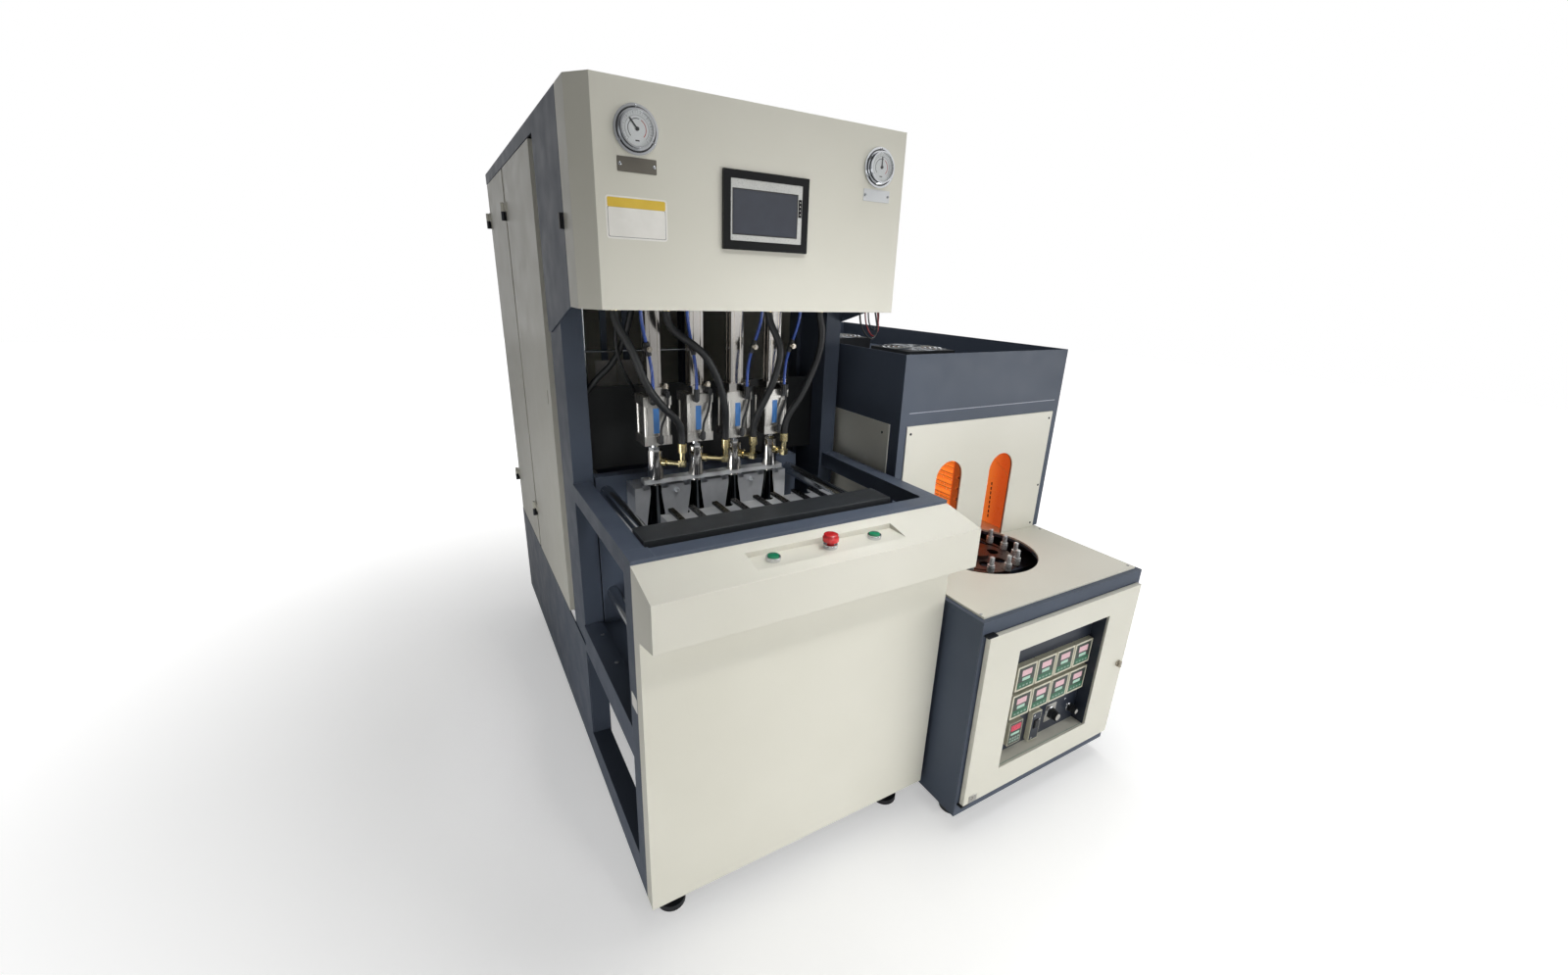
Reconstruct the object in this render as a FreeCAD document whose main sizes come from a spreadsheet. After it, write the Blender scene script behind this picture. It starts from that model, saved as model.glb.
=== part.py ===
import FreeCAD, Part
import math
import os
import re

import Sketcher
from FreeCAD import Rotation, Vector

# A semi-automatic stretch blow moulding machine in two stations that stand side by side:
# the blowing unit with its mould and four blowing stations, and the infrared preheating unit.
# Sizes are in millimetres. While it is being drawn, x runs right from the blowing unit's left
# face, y runs back from the front of its table and z runs up from the bottom of its frame.
# Every finished piece then gets the same placement, which puts the origin on the floor in the
# middle of the machine.

SIZES = (
    # blowing unit: casing
    ("width", 800),
    ("depth", 1702),
    ("height", 1694),
    ("floorGap", 90),
    ("skin", 3),
    ("panelGap", 3),
    # blowing unit: welded frame of square tube
    ("tableTop", 854),
    ("railHigh", 44),
    ("railWide", 44),
    ("tube", 50),
    ("baseHigh", 80),
    ("midTop", 443),
    ("midHigh", 80),
    ("cabinetFront", 500),
    ("postDepth", 140),
    ("postTop", 1640),
    ("innerInset", 25),
    ("innerTube", 40),
    ("bedTop", 438),
    ("bedThick", 20),
    ("slotWide", 14),
    ("slotInset", 60),
    ("slotPitch", 110),
    ("headFront", 385),
    ("headDeep", 70),
    ("headBottom", 1300),
    ("headHigh", 60),
    ("manifoldDeep", 60),
    ("manifoldHigh", 40),
    ("manifoldInset", 62),
    # blowing unit: sheet metal
    ("skirtTop", 378),
    ("doorTop", 1660),
    ("cowlDrop", 1217),
    ("cowlSlopeEnd", 614),
    ("cowlRear", 645),
    ("doorThick", 20),
    ("wideFront", 707),
    ("wideLong", 515),
    ("narrowFront", 1248),
    ("gripLong", 40),
    ("gripWide", 12),
    ("gripInset", 40),
    ("gripHigh", 1010),
    ("ventLong", 500),
    ("ventHigh", 8),
    ("ventPitch", 26),
    ("ventFoot", 620),
    ("hoodBottom", 1290),
    ("hoodFront", 235),
    ("hoodRear", 355),
    ("hoodChamferX", 36),
    ("hoodChamferY", 44),
    ("hoodWall", 3),
    # hinges and catches
    ("hingeOut", 8),
    ("hingeOuter", 6),
    ("hingePin", 3),
    ("hingeLong", 26),
    ("hingeLeaf", 36),
    ("leafThick", 4),
    ("hingeTop", 1535),
    ("hingeLow", 535),
    ("hoodHingeTop", 1600),
    ("hoodHingeLow", 1360),
    ("runGap", 0.05),
    ("endGap", 0.5),
    ("catchHigh", 30),
    ("catchWide", 14),
    ("catchOut", 8),
    ("catchTop", 775),
    ("catchLow", 428),
    ("hoodCatch", 1456),
    # touch panel and gauges on the hood
    ("screenX", 395),
    ("screenZ", 1492),
    ("screenWide", 204.5),
    ("screenHigh", 152),
    ("screenProud", 8),
    ("screenBody", 40),
    ("screenRim", 8),
    ("screenSunk", 2),
    ("gaugeLeft", 117),
    ("gaugeRight", 110),
    ("gaugeZ", 1612),
    ("gaugeFlange", 42.5),
    ("gaugeFlangeThick", 4),
    ("gaugeCase", 33),
    ("gaugeCaseProud", 12),
    ("gaugeBody", 30),
    ("gaugeBodyDeep", 40),
    ("gaugeDial", 30),
    ("gaugeDialSunk", 8),
    ("pointerLong", 22),
    ("pointerWide", 2.5),
    ("pointerThick", 1),
    ("pointerHub", 3),
    ("pointerLift", 2),
    ("pointerLean", 40),
    # front panel and control box
    ("panelProud", 36),
    ("boxTop", 846),
    ("boxReach", 117),
    ("noseTop", 821),
    ("noseLow", 722),
    ("boxLow", 700),
    ("boxWall", 3),
    ("recessLeft", 222),
    ("recessLong", 372),
    ("recessBack", 30),
    ("recessWide", 58),
    ("recessDeep", 12),
    ("buttonLeft", 271),
    ("buttonStop", 409),
    ("buttonRight", 526),
    ("buttonBack", 60),
    ("collarOuter", 15),
    ("collarHigh", 9),
    ("collarInner", 12.2),
    ("neckOuter", 11),
    ("neckDeep", 26),
    ("buttonOuter", 12),
    ("buttonHigh", 7),
    ("buttonTravel", 5),
    ("stopOuter", 17.5),
    ("stopHigh", 14),
    ("stopStem", 8),
    ("stopLift", 7),
    # clamping unit
    ("clampCentre", 356),
    ("platenWide", 620),
    ("platenFront", 60),
    ("platenThick", 78),
    ("platenTop", 862),
    ("platenLow", 490),
    ("tieBar", 17.5),
    ("tieSpigot", 12),
    ("tieSpread", 273),
    ("tieInset", 40),
    ("fixedFront", 495),
    ("fixedThick", 40),
    ("fixedWide", 600),
    ("crossFront", 860),
    ("crossThick", 35),
    ("cylinderOuter", 78),
    ("cylinderBore", 70),
    ("capSide", 170),
    ("capThick", 30),
    ("clampRod", 22),
    ("pistonThick", 25),
    ("pistonInset", 5),
    # mould
    ("mouldWide", 440),
    ("mouldTop", 845),
    ("mouldLow", 545),
    ("mouldFace", 420),
    ("mouldOpen", 196),
    ("rowPitch", 110),
    ("neckBore", 14.5),
    ("neckLong", 18),
    ("shoulderLong", 165),
    ("bottleBore", 38),
    ("bottleLong", 75),
    ("barHigh", 12),
    ("barWide", 13),
    ("barOffset", 25),
    ("barOver", 17),
    ("barSlotGap", 1.5),
    ("guidePin", 6),
    ("guidePinLong", 16),
    ("guidePinDrop", 16),
    ("pinGap", 0.5),
    # blowing stations
    ("nozzleOuter", 20.5),
    ("nozzleLong", 75),
    ("nozzleBore", 7),
    ("spigotOuter", 13),
    ("spigotDrop", 6),
    ("guideThick", 11),
    ("guideWide", 30),
    ("guideOver", 34),
    ("guideLift", 12),
    ("rodOuter", 11),
    ("nutAcross", 26),
    ("nutHigh", 8),
    ("sealGap", 12),
    ("sealSide", 70),
    ("sealCap", 22),
    ("sealBody", 62),
    ("sealLong", 120),
    ("sealBore", 28),
    ("sealPiston", 15),
    ("stretchSide", 34),
    ("stretchBore", 13),
    ("grooveOut", 9),
    ("grooveWide", 4),
    ("grooveDeep", 3),
    ("stretchEnd", 50),
    ("stretchCap", 20),
    ("stretchLong", 560),
    ("stretchRod", 6),
    ("elbowOuter", 7),
    ("turnFirst", 41),
    ("turnSecond", 37),
    ("turnThird", 55),
    ("turnFourth", 68),
    ("reachFirst", 73),
    ("reachSecond", 80),
    ("reachThird", 59),
    ("reachFourth", 52),
    ("elbowRise", 30),
    ("elbowBlock", 8),
    ("elbowNut", 11),
    ("elbowNutLong", 22),
    ("elbowDrop", 30),
    # air lines
    ("hoseOuter", 9),
    ("tubeOuter", 4),
    ("fittingOuter", 7),
    ("fittingLong", 26),
    ("fittingShift", 14),
    ("fittingLow", 2),
    ("backPlateY", 560),
    ("backPlateTop", 1085),
    # feet
    ("footOuter", 35),
    ("footThick", 16),
    ("stemOuter", 8),
    ("footInset", 68),
    ("footBack", 38),
    # preheating unit
    ("standGap", 20),
    ("standFoot", 40),
    ("heaterWide", 669),
    ("heaterReach", 152),
    ("heaterBack", 1450),
    ("heaterDrop", 36),
    ("heaterTable", 585),
    ("tablePlate", 6),
    ("tableInset", 14),
    ("rimThick", 9),
    ("tunnelFront", 224),
    ("tunnelTop", 1184),
    ("tunnelDeck", 1105),
    ("facePanelInset", 26),
    ("facePanelTop", 988),
    ("facePanelThick", 3),
    ("sidePanelInset", 40),
    ("archWide", 104),
    ("archTop", 869),
    ("chainX", 1142),
    ("chainFront", 162),
    ("chainRadius", 112),
    ("holeRadius", 172),
    ("slotHalf", 24),
    ("chainWide", 20),
    ("chainDrop", 22),
    ("railThick", 8),
    ("sprocketTeeth", 12),
    ("laneLinks", 19),
    ("linkEye", 10),
    ("linkWaist", 6.5),
    ("linkPlate", 2),
    ("pinOuter", 3.5),
    ("chuckFoot", 11),
    ("chuckFootHigh", 22),
    ("chuckPin", 7),
    ("chuckPinHigh", 26),
    ("chuckCollar", 9),
    ("sprocketGap", 0.6),
    ("sprocketThick", 8),
    ("sprocketHub", 30),
    ("hubHigh", 12),
    ("windowRadius", 18),
    ("windowRing", 62),
    ("toothNotch", 5),
    ("shaftOuter", 12),
    ("shaftLong", 130),
    ("beamWide", 80),
    ("beamHigh", 30),
    ("beamDrop", 115),
    ("gearSide", 110),
    ("gearHigh", 70),
    ("motorOuter", 50),
    ("motorLong", 150),
    ("linerSide", 90),
    ("linerTop", 970),
    ("linerFront", 8),
    ("linerBack", 45),
    ("lampOuter", 5),
    ("lampLow", 650),
    ("lampPitch", 36),
    ("lampSpread", 26),
    ("lampPlate", 4),
    ("lampInset", 30),
    ("fanSide", 200),
    ("fanHigh", 52),
    ("fanShift", 24),
    ("fanNear", 590),
    ("fanFar", 1050),
    ("fanBore", 92),
    ("fanHub", 32),
    ("fanBlade", 54),
    ("fanPin", 4),
    ("spiderWide", 10),
    # preheating unit: door with its instruments
    ("leafLeft", 14),
    ("leafLow", 44),
    ("leafTop", 45),
    ("leafProud", 14),
    ("leafStand", 2),
    ("windowLeft", 138),
    ("windowWide", 387),
    ("windowLow", 121),
    ("windowHigh", 383),
    ("trayDeep", 30),
    ("pivotInset", 4),
    ("controllerWide", 79),
    ("controllerHigh", 80),
    ("controllerThick", 16),
    ("controllerPitchX", 83),
    ("controllerPitchZ", 94),
    ("controllerX", 186),
    ("controllerZ", 338),
    ("counterX", 196),
    ("counterZ", 150),
    ("counterWide", 54),
    ("counterHigh", 76),
    ("rockerX", 292),
    ("rockerZ", 128),
    ("rockerWide", 40),
    ("rockerHigh", 100),
    ("selectorX", 398),
    ("knobZ", 183),
    ("speedX", 490),
    ("speedZ", 169),
    ("selectorOuter", 17),
    ("speedOuter", 12),
    ("knobThick", 28),
    ("knobStem", 5),
    ("gripBar", 7),
    ("latchX", 26),
    ("latchOuter", 11),
    ("latchProud", 12),
)

doc = FreeCAD.newDocument("blow_moulding_machine")
sheet = doc.addObject("Spreadsheet::Sheet", "Sizes")
VALUES = dict(SIZES)
for row, (alias, value) in enumerate(SIZES, 1):
    sheet.set("A%d" % row, alias)
    sheet.set("B%d" % row, str(value))
    sheet.setAlias("B%d" % row, alias)
doc.recompute()

WORD = re.compile(r"[A-Za-z]+")
PIECES = []


def bound(text):
    """The expression with every size's name pointed at its cell in the sheet."""
    return WORD.sub(lambda m: "Sizes." + m.group() if m.group() in VALUES else m.group(), text)


def bind(obj, **expressions):
    for name, text in expressions.items():
        obj.setExpression(name, bound(text))


def put(obj, x, y, z):
    for name, text in (("x", x), ("y", y), ("z", z)):
        obj.setExpression("Placement.Base." + name, bound(text))
    return obj


# ---------------------------------------------------------------- building blocks
def block(x, y, z, dx, dy, dz):
    box = doc.addObject("Part::Box", "block")
    bind(box, Length=dx, Width=dy, Height=dz)
    return put(box, x, y, z)


TURNS = {
    "z": Rotation(),
    "x": Rotation(Vector(0, 1, 0), 90),
    "y": Rotation(Vector(1, 0, 0), -90),
}


def bar(x, y, z, radius, length, along="z"):
    rod = doc.addObject("Part::Cylinder", "bar")
    rod.Placement = FreeCAD.Placement(Vector(), TURNS[along])
    bind(rod, Radius=radius, Height=length)
    return put(rod, x, y, z)


def taper(x, y, z, low, high, length):
    cone = doc.addObject("Part::Cone", "taper")
    bind(cone, Radius1=low, Radius2=high, Height=length)
    return put(cone, x, y, z)


def hexagon(x, y, z, across, length):
    nut = doc.addObject("Part::Prism", "hexagon")
    nut.Polygon = 6
    bind(nut, Circumradius="(%s) / sqrt(3)" % across, Height=length)
    return put(nut, x, y, z)


def fused(*parts):
    if len(parts) == 1:
        return parts[0]
    joined = doc.addObject("Part::MultiFuse", "fused")
    joined.Shapes = list(parts)
    joined.Refine = True
    return joined


def group(*parts):
    several = doc.addObject("Part::Compound", "group")
    several.Links = list(parts)
    return several


def cut(base, *tools):
    rest = doc.addObject("Part::Cut", "cut")
    rest.Base = base
    rest.Tool = tools[0] if len(tools) == 1 else fused(*tools)
    rest.Refine = True
    return rest


FRONT = "(heaterReach + leafStand + leafProud + latchProud)"
HEATER = "(width + standGap)"
CENTRE_X = "(%s + heaterWide + facePanelThick - hingeOut - hingeOuter) / 2" % HEATER
CENTRE_Y = "(depth - skin + hingeOuter - %s) / 2" % FRONT


def piece(name, solid, x="0", y="0", z="0"):
    """Name a finished piece and put it in the machine's frame, moved on by x, y and z."""
    solid.Label = name
    put(solid, "%s - %s" % (x, CENTRE_X), "%s - %s" % (y, CENTRE_Y), "%s + floorGap" % z)
    PIECES.append(solid)
    return solid


def plane(body, role):
    return [part for part in body.Origin.OriginFeatures if part.Role == role][0]


def outline(body, role, points, lift="0"):
    """A closed sketch of straight lines, each corner held by two bound distances."""
    sketch = body.newObject("Sketcher::SketchObject", "outline")
    sketch.AttachmentSupport = [(plane(body, role), "")]
    sketch.MapMode = "FlatFace"
    sketch.setExpression("AttachmentOffset.Base.z", bound(lift))
    spots = []
    for across, up in points:
        spots.append(Vector(number(across), number(up), 0))
    last = len(spots) - 1
    for i, spot in enumerate(spots):
        sketch.addGeometry(Part.LineSegment(spot, spots[0 if i == last else i + 1]))
    for i in range(len(spots)):
        sketch.addConstraint(Sketcher.Constraint("Coincident", i, 2, 0 if i == last else i + 1, 1))
    for i, (across, up) in enumerate(points):
        for kind, text, value in (("DistanceX", across, spots[i].x), ("DistanceY", up, spots[i].y)):
            held = sketch.addConstraint(Sketcher.Constraint(kind, i, 1, value))
            sketch.setExpression("Constraints[%d]" % held, bound(text))
    return sketch


def rounds(body, role, circles, lift="0"):
    """A sketch of circles, each with a bound centre and radius."""
    sketch = body.newObject("Sketcher::SketchObject", "rounds")
    sketch.AttachmentSupport = [(plane(body, role), "")]
    sketch.MapMode = "FlatFace"
    sketch.setExpression("AttachmentOffset.Base.z", bound(lift))
    for i, (across, up, radius) in enumerate(circles):
        centre = Vector(number(across), number(up), 0)
        sketch.addGeometry(Part.Circle(centre, Vector(0, 0, 1), number(radius)))
        for kind, text, value in (("DistanceX", across, centre.x), ("DistanceY", up, centre.y)):
            held = sketch.addConstraint(Sketcher.Constraint(kind, i, 3, value))
            sketch.setExpression("Constraints[%d]" % held, bound(text))
        held = sketch.addConstraint(Sketcher.Constraint("Radius", i, number(radius)))
        sketch.setExpression("Constraints[%d]" % held, bound(radius))
    return sketch


def number(text):
    """The value that an expression of the sheet's sizes has now."""
    plain = WORD.sub(lambda m: repr(VALUES[m.group()]) if m.group() in VALUES else m.group(), text)
    quantity = sheet.evalExpression(plain)
    return float(getattr(quantity, "Value", quantity))


def pad(body, sketch, length, back=False):
    feature = body.newObject("PartDesign::Pad", "pad")
    feature.Profile = sketch
    feature.Reversed = back
    bind(feature, Length=length)
    return feature


def pocket(body, sketch, length, back=False):
    """Cut a sketch against its normal, or along it when back is set."""
    feature = body.newObject("PartDesign::Pocket", "pocket")
    feature.Profile = sketch
    feature.Reversed = back
    bind(feature, Length=length)
    return feature


def new_body():
    return doc.addObject("PartDesign::Body", "body")


# ---------------------------------------------------------------- blowing unit: frame
def blower_frame():
    """Welded frame: every tube is its own solid, with the slotted bed and the head beam."""
    rail_low = "(tableTop - railHigh)"
    span = "(cabinetFront - tube)"
    inner = "(innerInset + innerTube)"
    door_post = "(cabinetFront + postDepth)"
    rear_post = "(depth - skin - tube)"
    seam_post = "((wideFront + wideLong + narrowFront - innerTube) / 2)"
    levels = ("0", "skirtTop - innerTube", "postTop - innerTube")
    tubes = []
    for x in ("0", "width - tube"):
        tubes.append(block(x, "0", "0", "tube", "tube", "tableTop"))
        tubes.append(block(x, "tube", "midTop - midHigh", "tube", span, "midHigh"))
        tubes.append(block(x, "tube", "0", "tube", span, "baseHigh"))
    for x in ("0", "width - railWide"):
        tubes.append(block(x, "tube", rail_low, "railWide", span, "railHigh"))
    tubes.append(block("tube", "0", rail_low, "width - 2 * tube", "railWide", "railHigh"))
    tubes.append(block("tube", "0", "0", "width - 2 * tube", "tube", "baseHigh"))
    for x in ("skin", "width - skin - tube"):
        tubes.append(block(x, "cabinetFront", "0", "tube", "postDepth", "postTop"))
        tubes.append(block(x, "headFront", "headBottom", "tube", "cabinetFront - headFront",
                           "headHigh"))
    for x in ("innerInset", "width - " + inner):
        tubes.append(block(x, door_post, "0", "innerTube", "tube", "postTop"))
        tubes.append(block(x, rear_post, "0", "innerTube", "tube", "postTop"))
    tubes.append(block("innerInset", seam_post, "0", "innerTube", "innerTube", "postTop"))
    side_runs = (
        ("innerInset", door_post + " + tube", seam_post),
        ("innerInset", seam_post + " + innerTube", rear_post),
        ("width - " + inner, door_post + " + tube", rear_post),
    )
    for z in levels:
        for x, start, end in side_runs:
            tubes.append(block(x, start, z, "innerTube", "%s - (%s)" % (end, start),
                               "innerTube"))
        tubes.append(block(inner, rear_post, z, "width - 2 * " + inner, "tube", "innerTube"))
    between = "width - 2 * (skin + tube)"
    tubes.append(block("skin + tube", "cabinetFront", "postTop - tube", between, "tube", "tube"))
    tubes.append(block("manifoldInset", "headFront - manifoldDeep", "headBottom",
                       "width - 2 * manifoldInset", "manifoldDeep", "manifoldHigh"))
    notches = []
    for i in range(4):
        notches.append(block("%s - stretchSide / 2 - runGap" % row(i),
                             "mouldFace - stretchSide / 2 - runGap", "headBottom",
                             "stretchSide + 2 * runGap", "stretchSide + 2 * runGap",
                             "headHigh"))
    head = block("skin + tube", "headFront", "headBottom", between, "headDeep", "headHigh")
    slots = []
    for i in range(3):
        for x in ("tube + slotInset + %d * slotPitch / 2" % i,
                  "width - tube - slotInset - slotWide - %d * slotPitch / 2" % i):
            slots.append(block(x, "tube + slotInset", "bedTop - bedThick", "slotWide",
                               "cabinetFront - tube - 2 * slotInset", "bedThick"))
    bed = fused(block("tube", "tube", "bedTop - bedThick", "width - 2 * tube", span,
                      "bedThick"),
                block("skin + tube", "cabinetFront", "bedTop - bedThick", between, "postDepth",
                      "bedThick"))
    piece("blower_frame", group(*tubes, cut(head, *notches), cut(bed, *slots)))


def row(i):
    """Place of one of the four blowing stations along the mould."""
    return "(clampCentre + %.1f * rowPitch)" % (i - 1.5)


# ---------------------------------------------------------------- blowing unit: sheet metal
def blower_skirt():
    """The slate plinth, one sheet folded round the two sides and the back."""
    outer = block("0", "cabinetFront", "0", "width", "depth - cabinetFront", "skirtTop")
    inner = block("skin", "cabinetFront", "0", "width - 2 * skin",
                  "depth - cabinetFront - skin", "skirtTop")
    piece("blower_skirt", cut(outer, inner))


def upper_cowl():
    """Roof and both upper side cheeks, whose lower edge slopes down to the back."""
    body = new_body()
    front = "hoodRear + panelGap"
    side = outline(body, "YZ_Plane", (
        (front, "hoodBottom"),
        (front, "height"),
        ("depth", "height"),
        ("depth", "doorTop"),
        ("cowlRear", "doorTop"),
        ("cowlRear", "cowlDrop"),
        ("cowlSlopeEnd", "cowlDrop"),
    ))
    pad(body, side, "width")
    hollow = outline(body, "YZ_Plane", (
        (front, "cowlDrop"),
        (front, "height - skin"),
        ("depth - skin", "height - skin"),
        ("depth - skin", "cowlDrop"),
    ), "skin")
    pocket(body, hollow, "width - 2 * skin", back=True)
    piece("upper_cowl", body)


def door(front, long, hinge):
    """A beige door folded into a shallow tray, with the moving knuckles of its two hinges."""
    low = "skirtTop + panelGap"
    high = "doorTop - skirtTop - 2 * panelGap"
    tray = block("0", front, low, "doorThick", long, high)
    hollow = block("skin", front + " + skin", low + " + skin", "doorThick - skin",
                   long + " - 2 * skin", high + " - 2 * skin")
    shell = cut(tray, hollow)
    parts = [shell]
    bores = []
    for z in ("hingeTop", "hingeLow"):
        parts.append(block("-leafThick", hinge + " - hingeLeaf", z, "leafThick", "hingeLeaf",
                           "hingeLong"))
        parts.append(bar("-hingeOut", hinge, z, "hingeOuter", "hingeLong"))
        bores.append(bar("-hingeOut", hinge, z, "hingePin + runGap", "hingeLong"))
    return fused(*parts), bores


WIDE_HINGE = "((wideFront + wideLong + narrowFront) / 2)"
NARROW_HINGE = "(depth - skin)"


def doors():
    wide, bores = door("wideFront", "wideLong", WIDE_HINGE)
    grip = block("0", "wideFront + gripInset", "gripHigh", "skin", "gripWide", "gripLong")
    piece("wide_door", cut(wide, grip, *bores))
    narrow, bores = door("narrowFront", "%s - narrowFront - hingeOuter - panelGap" % NARROW_HINGE,
                         NARROW_HINGE)
    lock = bar("0", "narrowFront + gripInset", "gripHigh", "gripWide / 2", "skin", "x")
    piece("narrow_door", cut(narrow, lock, *bores))


def cabinet_cover():
    """The fixed beige cover of the right side and the back, one sheet folded at the corner."""
    low = "skirtTop + panelGap"
    high = "doorTop - skirtTop - 2 * panelGap"
    outer = block("innerInset", "cowlRear + panelGap", low, "width - innerInset",
                  "depth - cowlRear - panelGap", high)
    inner = block("innerInset", "cowlRear + panelGap", low, "width - innerInset - skin",
                  "depth - cowlRear - panelGap - skin", high)
    vents = []
    for i in range(10):
        vents.append(block("(width - ventLong) / 2", "depth - skin",
                           "ventFoot + %d * ventPitch" % i, "ventLong", "skin", "ventHigh"))
    piece("cabinet_cover", cut(outer, inner, *vents))


def hood():
    """The beige hood with chamfered front corners, open at the back and below."""
    body = new_body()
    shape = (
        ("0", "hoodRear"),
        ("0", "hoodFront + hoodChamferY"),
        ("hoodChamferX", "hoodFront"),
        ("width - hoodChamferX", "hoodFront"),
        ("width", "hoodFront + hoodChamferY"),
        ("width", "hoodRear"),
    )
    pad(body, outline(body, "XY_Plane", shape, "hoodBottom"), "height - hoodBottom")
    inner = (
        ("hoodWall", "hoodRear"),
        ("hoodWall", "hoodFront + hoodChamferY + hoodWall / 2"),
        ("hoodChamferX + hoodWall / 2", "hoodFront + hoodWall"),
        ("width - hoodChamferX - hoodWall / 2", "hoodFront + hoodWall"),
        ("width - hoodWall", "hoodFront + hoodChamferY + hoodWall / 2"),
        ("width - hoodWall", "hoodRear"),
    )
    pocket(body, outline(body, "XY_Plane", inner, "hoodBottom"),
           "height - hoodBottom - hoodWall", back=True)
    window = block("screenX - screenWide / 2 + screenRim", "hoodFront",
                   "screenZ - screenHigh / 2 + screenRim", "screenWide - 2 * screenRim",
                   "hoodWall", "screenHigh - 2 * screenRim")
    holes = [window]
    for x in ("gaugeLeft", "width - gaugeRight"):
        holes.append(bar(x, "hoodFront", "gaugeZ", "gaugeBody + runGap", "hoodWall", "y"))
    knuckles = []
    axis = "hoodRear + panelGap / 2"
    for z in ("hoodHingeTop", "hoodHingeLow"):
        knuckles.append(block("width", axis + " - hingeLeaf", z, "leafThick", "hingeLeaf",
                              "hingeLong"))
        knuckles.append(bar("width + hingeOut", axis, z, "hingeOuter", "hingeLong"))
        holes.append(bar("width + hingeOut", axis, z, "hingePin + runGap", "hingeLong"))
    piece("hood", cut(fused(body, *knuckles), *holes))


def hinges_and_catches():
    """Fixed knuckles with their pins, the hood's and the door's catches, and the pivots."""
    parts = []

    def knuckle(x, y, z, leaf):
        low = z + " - hingeLong - endGap"
        parts.append(fused(
            bar(x, y, low, "hingeOuter", "hingeLong"),
            bar(x, y, z + " - endGap", "hingePin", "hingeLong + endGap"),
            leaf(low)))

    def inward(y):
        return lambda low: block("-hingeOut", y + " - hingePin", low, "hingeOut + innerInset",
                                 "2 * hingePin", "hingeLong")

    for z in ("hingeTop", "hingeLow"):
        knuckle("-hingeOut", WIDE_HINGE, z, inward(WIDE_HINGE))
        knuckle("-hingeOut", NARROW_HINGE, z, inward(NARROW_HINGE))
    axis = "hoodRear + panelGap / 2"
    for z in ("hoodHingeTop", "hoodHingeLow"):
        knuckle("width + hingeOut", axis, z,
                lambda low: block("width", axis, low, "leafThick", "hingeLeaf", "hingeLong"))
    for z in ("catchTop", "catchLow"):
        parts.append(block("innerInset - catchOut", "wideFront - 2 * catchWide - panelGap",
                           z + " - catchHigh / 2", "catchOut", "2 * catchWide", "catchHigh"))
    parts.append(block("-catchOut", "hoodRear + panelGap", "hoodCatch - catchHigh / 2",
                       "catchOut", "catchWide", "catchHigh"))
    for z, pin in (("leafLow - heaterDrop - endGap - leafThick", "leafThick"),
                   ("heaterTable - leafTop + endGap", "-knobStem")):
        x = HEATER + " + leafLeft + pivotInset"
        y = "-heaterReach - leafStand - leafProud + pivotInset"
        plate = block(x + " - latchOuter", "-heaterReach - leafStand - leafProud", z,
                      "3 * latchOuter", "leafStand + leafProud", "leafThick")
        parts.append(fused(plate, bar(x, y, "%s + %s" % (z, pin), "hingePin", "knobStem")))
    piece("hinges_and_catches", group(*parts))


def touch_panel():
    flange = block("screenX - screenWide / 2", "hoodFront - screenProud",
                   "screenZ - screenHigh / 2", "screenWide", "screenProud", "screenHigh")
    inset = "screenRim + skin"
    body = block("screenX - screenWide / 2 + " + inset, "hoodFront",
                 "screenZ - screenHigh / 2 + " + inset, "screenWide - 2 * (%s)" % inset,
                 "screenBody", "screenHigh - 2 * (%s)" % inset)
    glass = block("screenX - screenWide / 2 + 2 * screenRim", "hoodFront - screenProud",
                  "screenZ - screenHigh / 2 + 2 * screenRim", "screenWide - 4 * screenRim",
                  "screenSunk", "screenHigh - 4 * screenRim")
    piece("touch_panel", cut(fused(flange, body), glass))


def pressure_gauges():
    """Two panel gauges, each a flanged case with a sunk dial, and their pointers."""
    gauges = []
    face = "hoodFront - gaugeFlangeThick - gaugeCaseProud"
    for side, x in (("left", "gaugeLeft"), ("right", "width - gaugeRight")):
        case = fused(
            bar(x, "hoodFront - gaugeFlangeThick", "gaugeZ", "gaugeFlange", "gaugeFlangeThick",
                "y"),
            bar(x, face, "gaugeZ", "gaugeCase", "gaugeCaseProud", "y"),
            bar(x, "hoodFront", "gaugeZ", "gaugeBody", "gaugeBodyDeep", "y"))
        gauges.append(cut(case, bar(x, face, "gaugeZ", "gaugeDial", "gaugeDialSunk", "y")))
        lift = face + " + gaugeDialSunk - pointerLift - pointerThick"
        needle = fused(block("-pointerWide / 2", "0", "-pointerHub", "pointerWide",
                             "pointerThick", "pointerLong + pointerHub"),
                       bar("0", "0", "0", "pointerHub", "pointerLift + pointerThick - endGap",
                           "y"))
        if side == "left":
            needle.Placement = FreeCAD.Placement(Vector(), Rotation(Vector(0, 1, 0), 1))
            needle.setExpression("Placement.Rotation.Angle", bound("-pointerLean"))
        piece("gauge_pointer_" + side, needle, x, lift, "gaugeZ")
    piece("pressure_gauges", group(*gauges))


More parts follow.
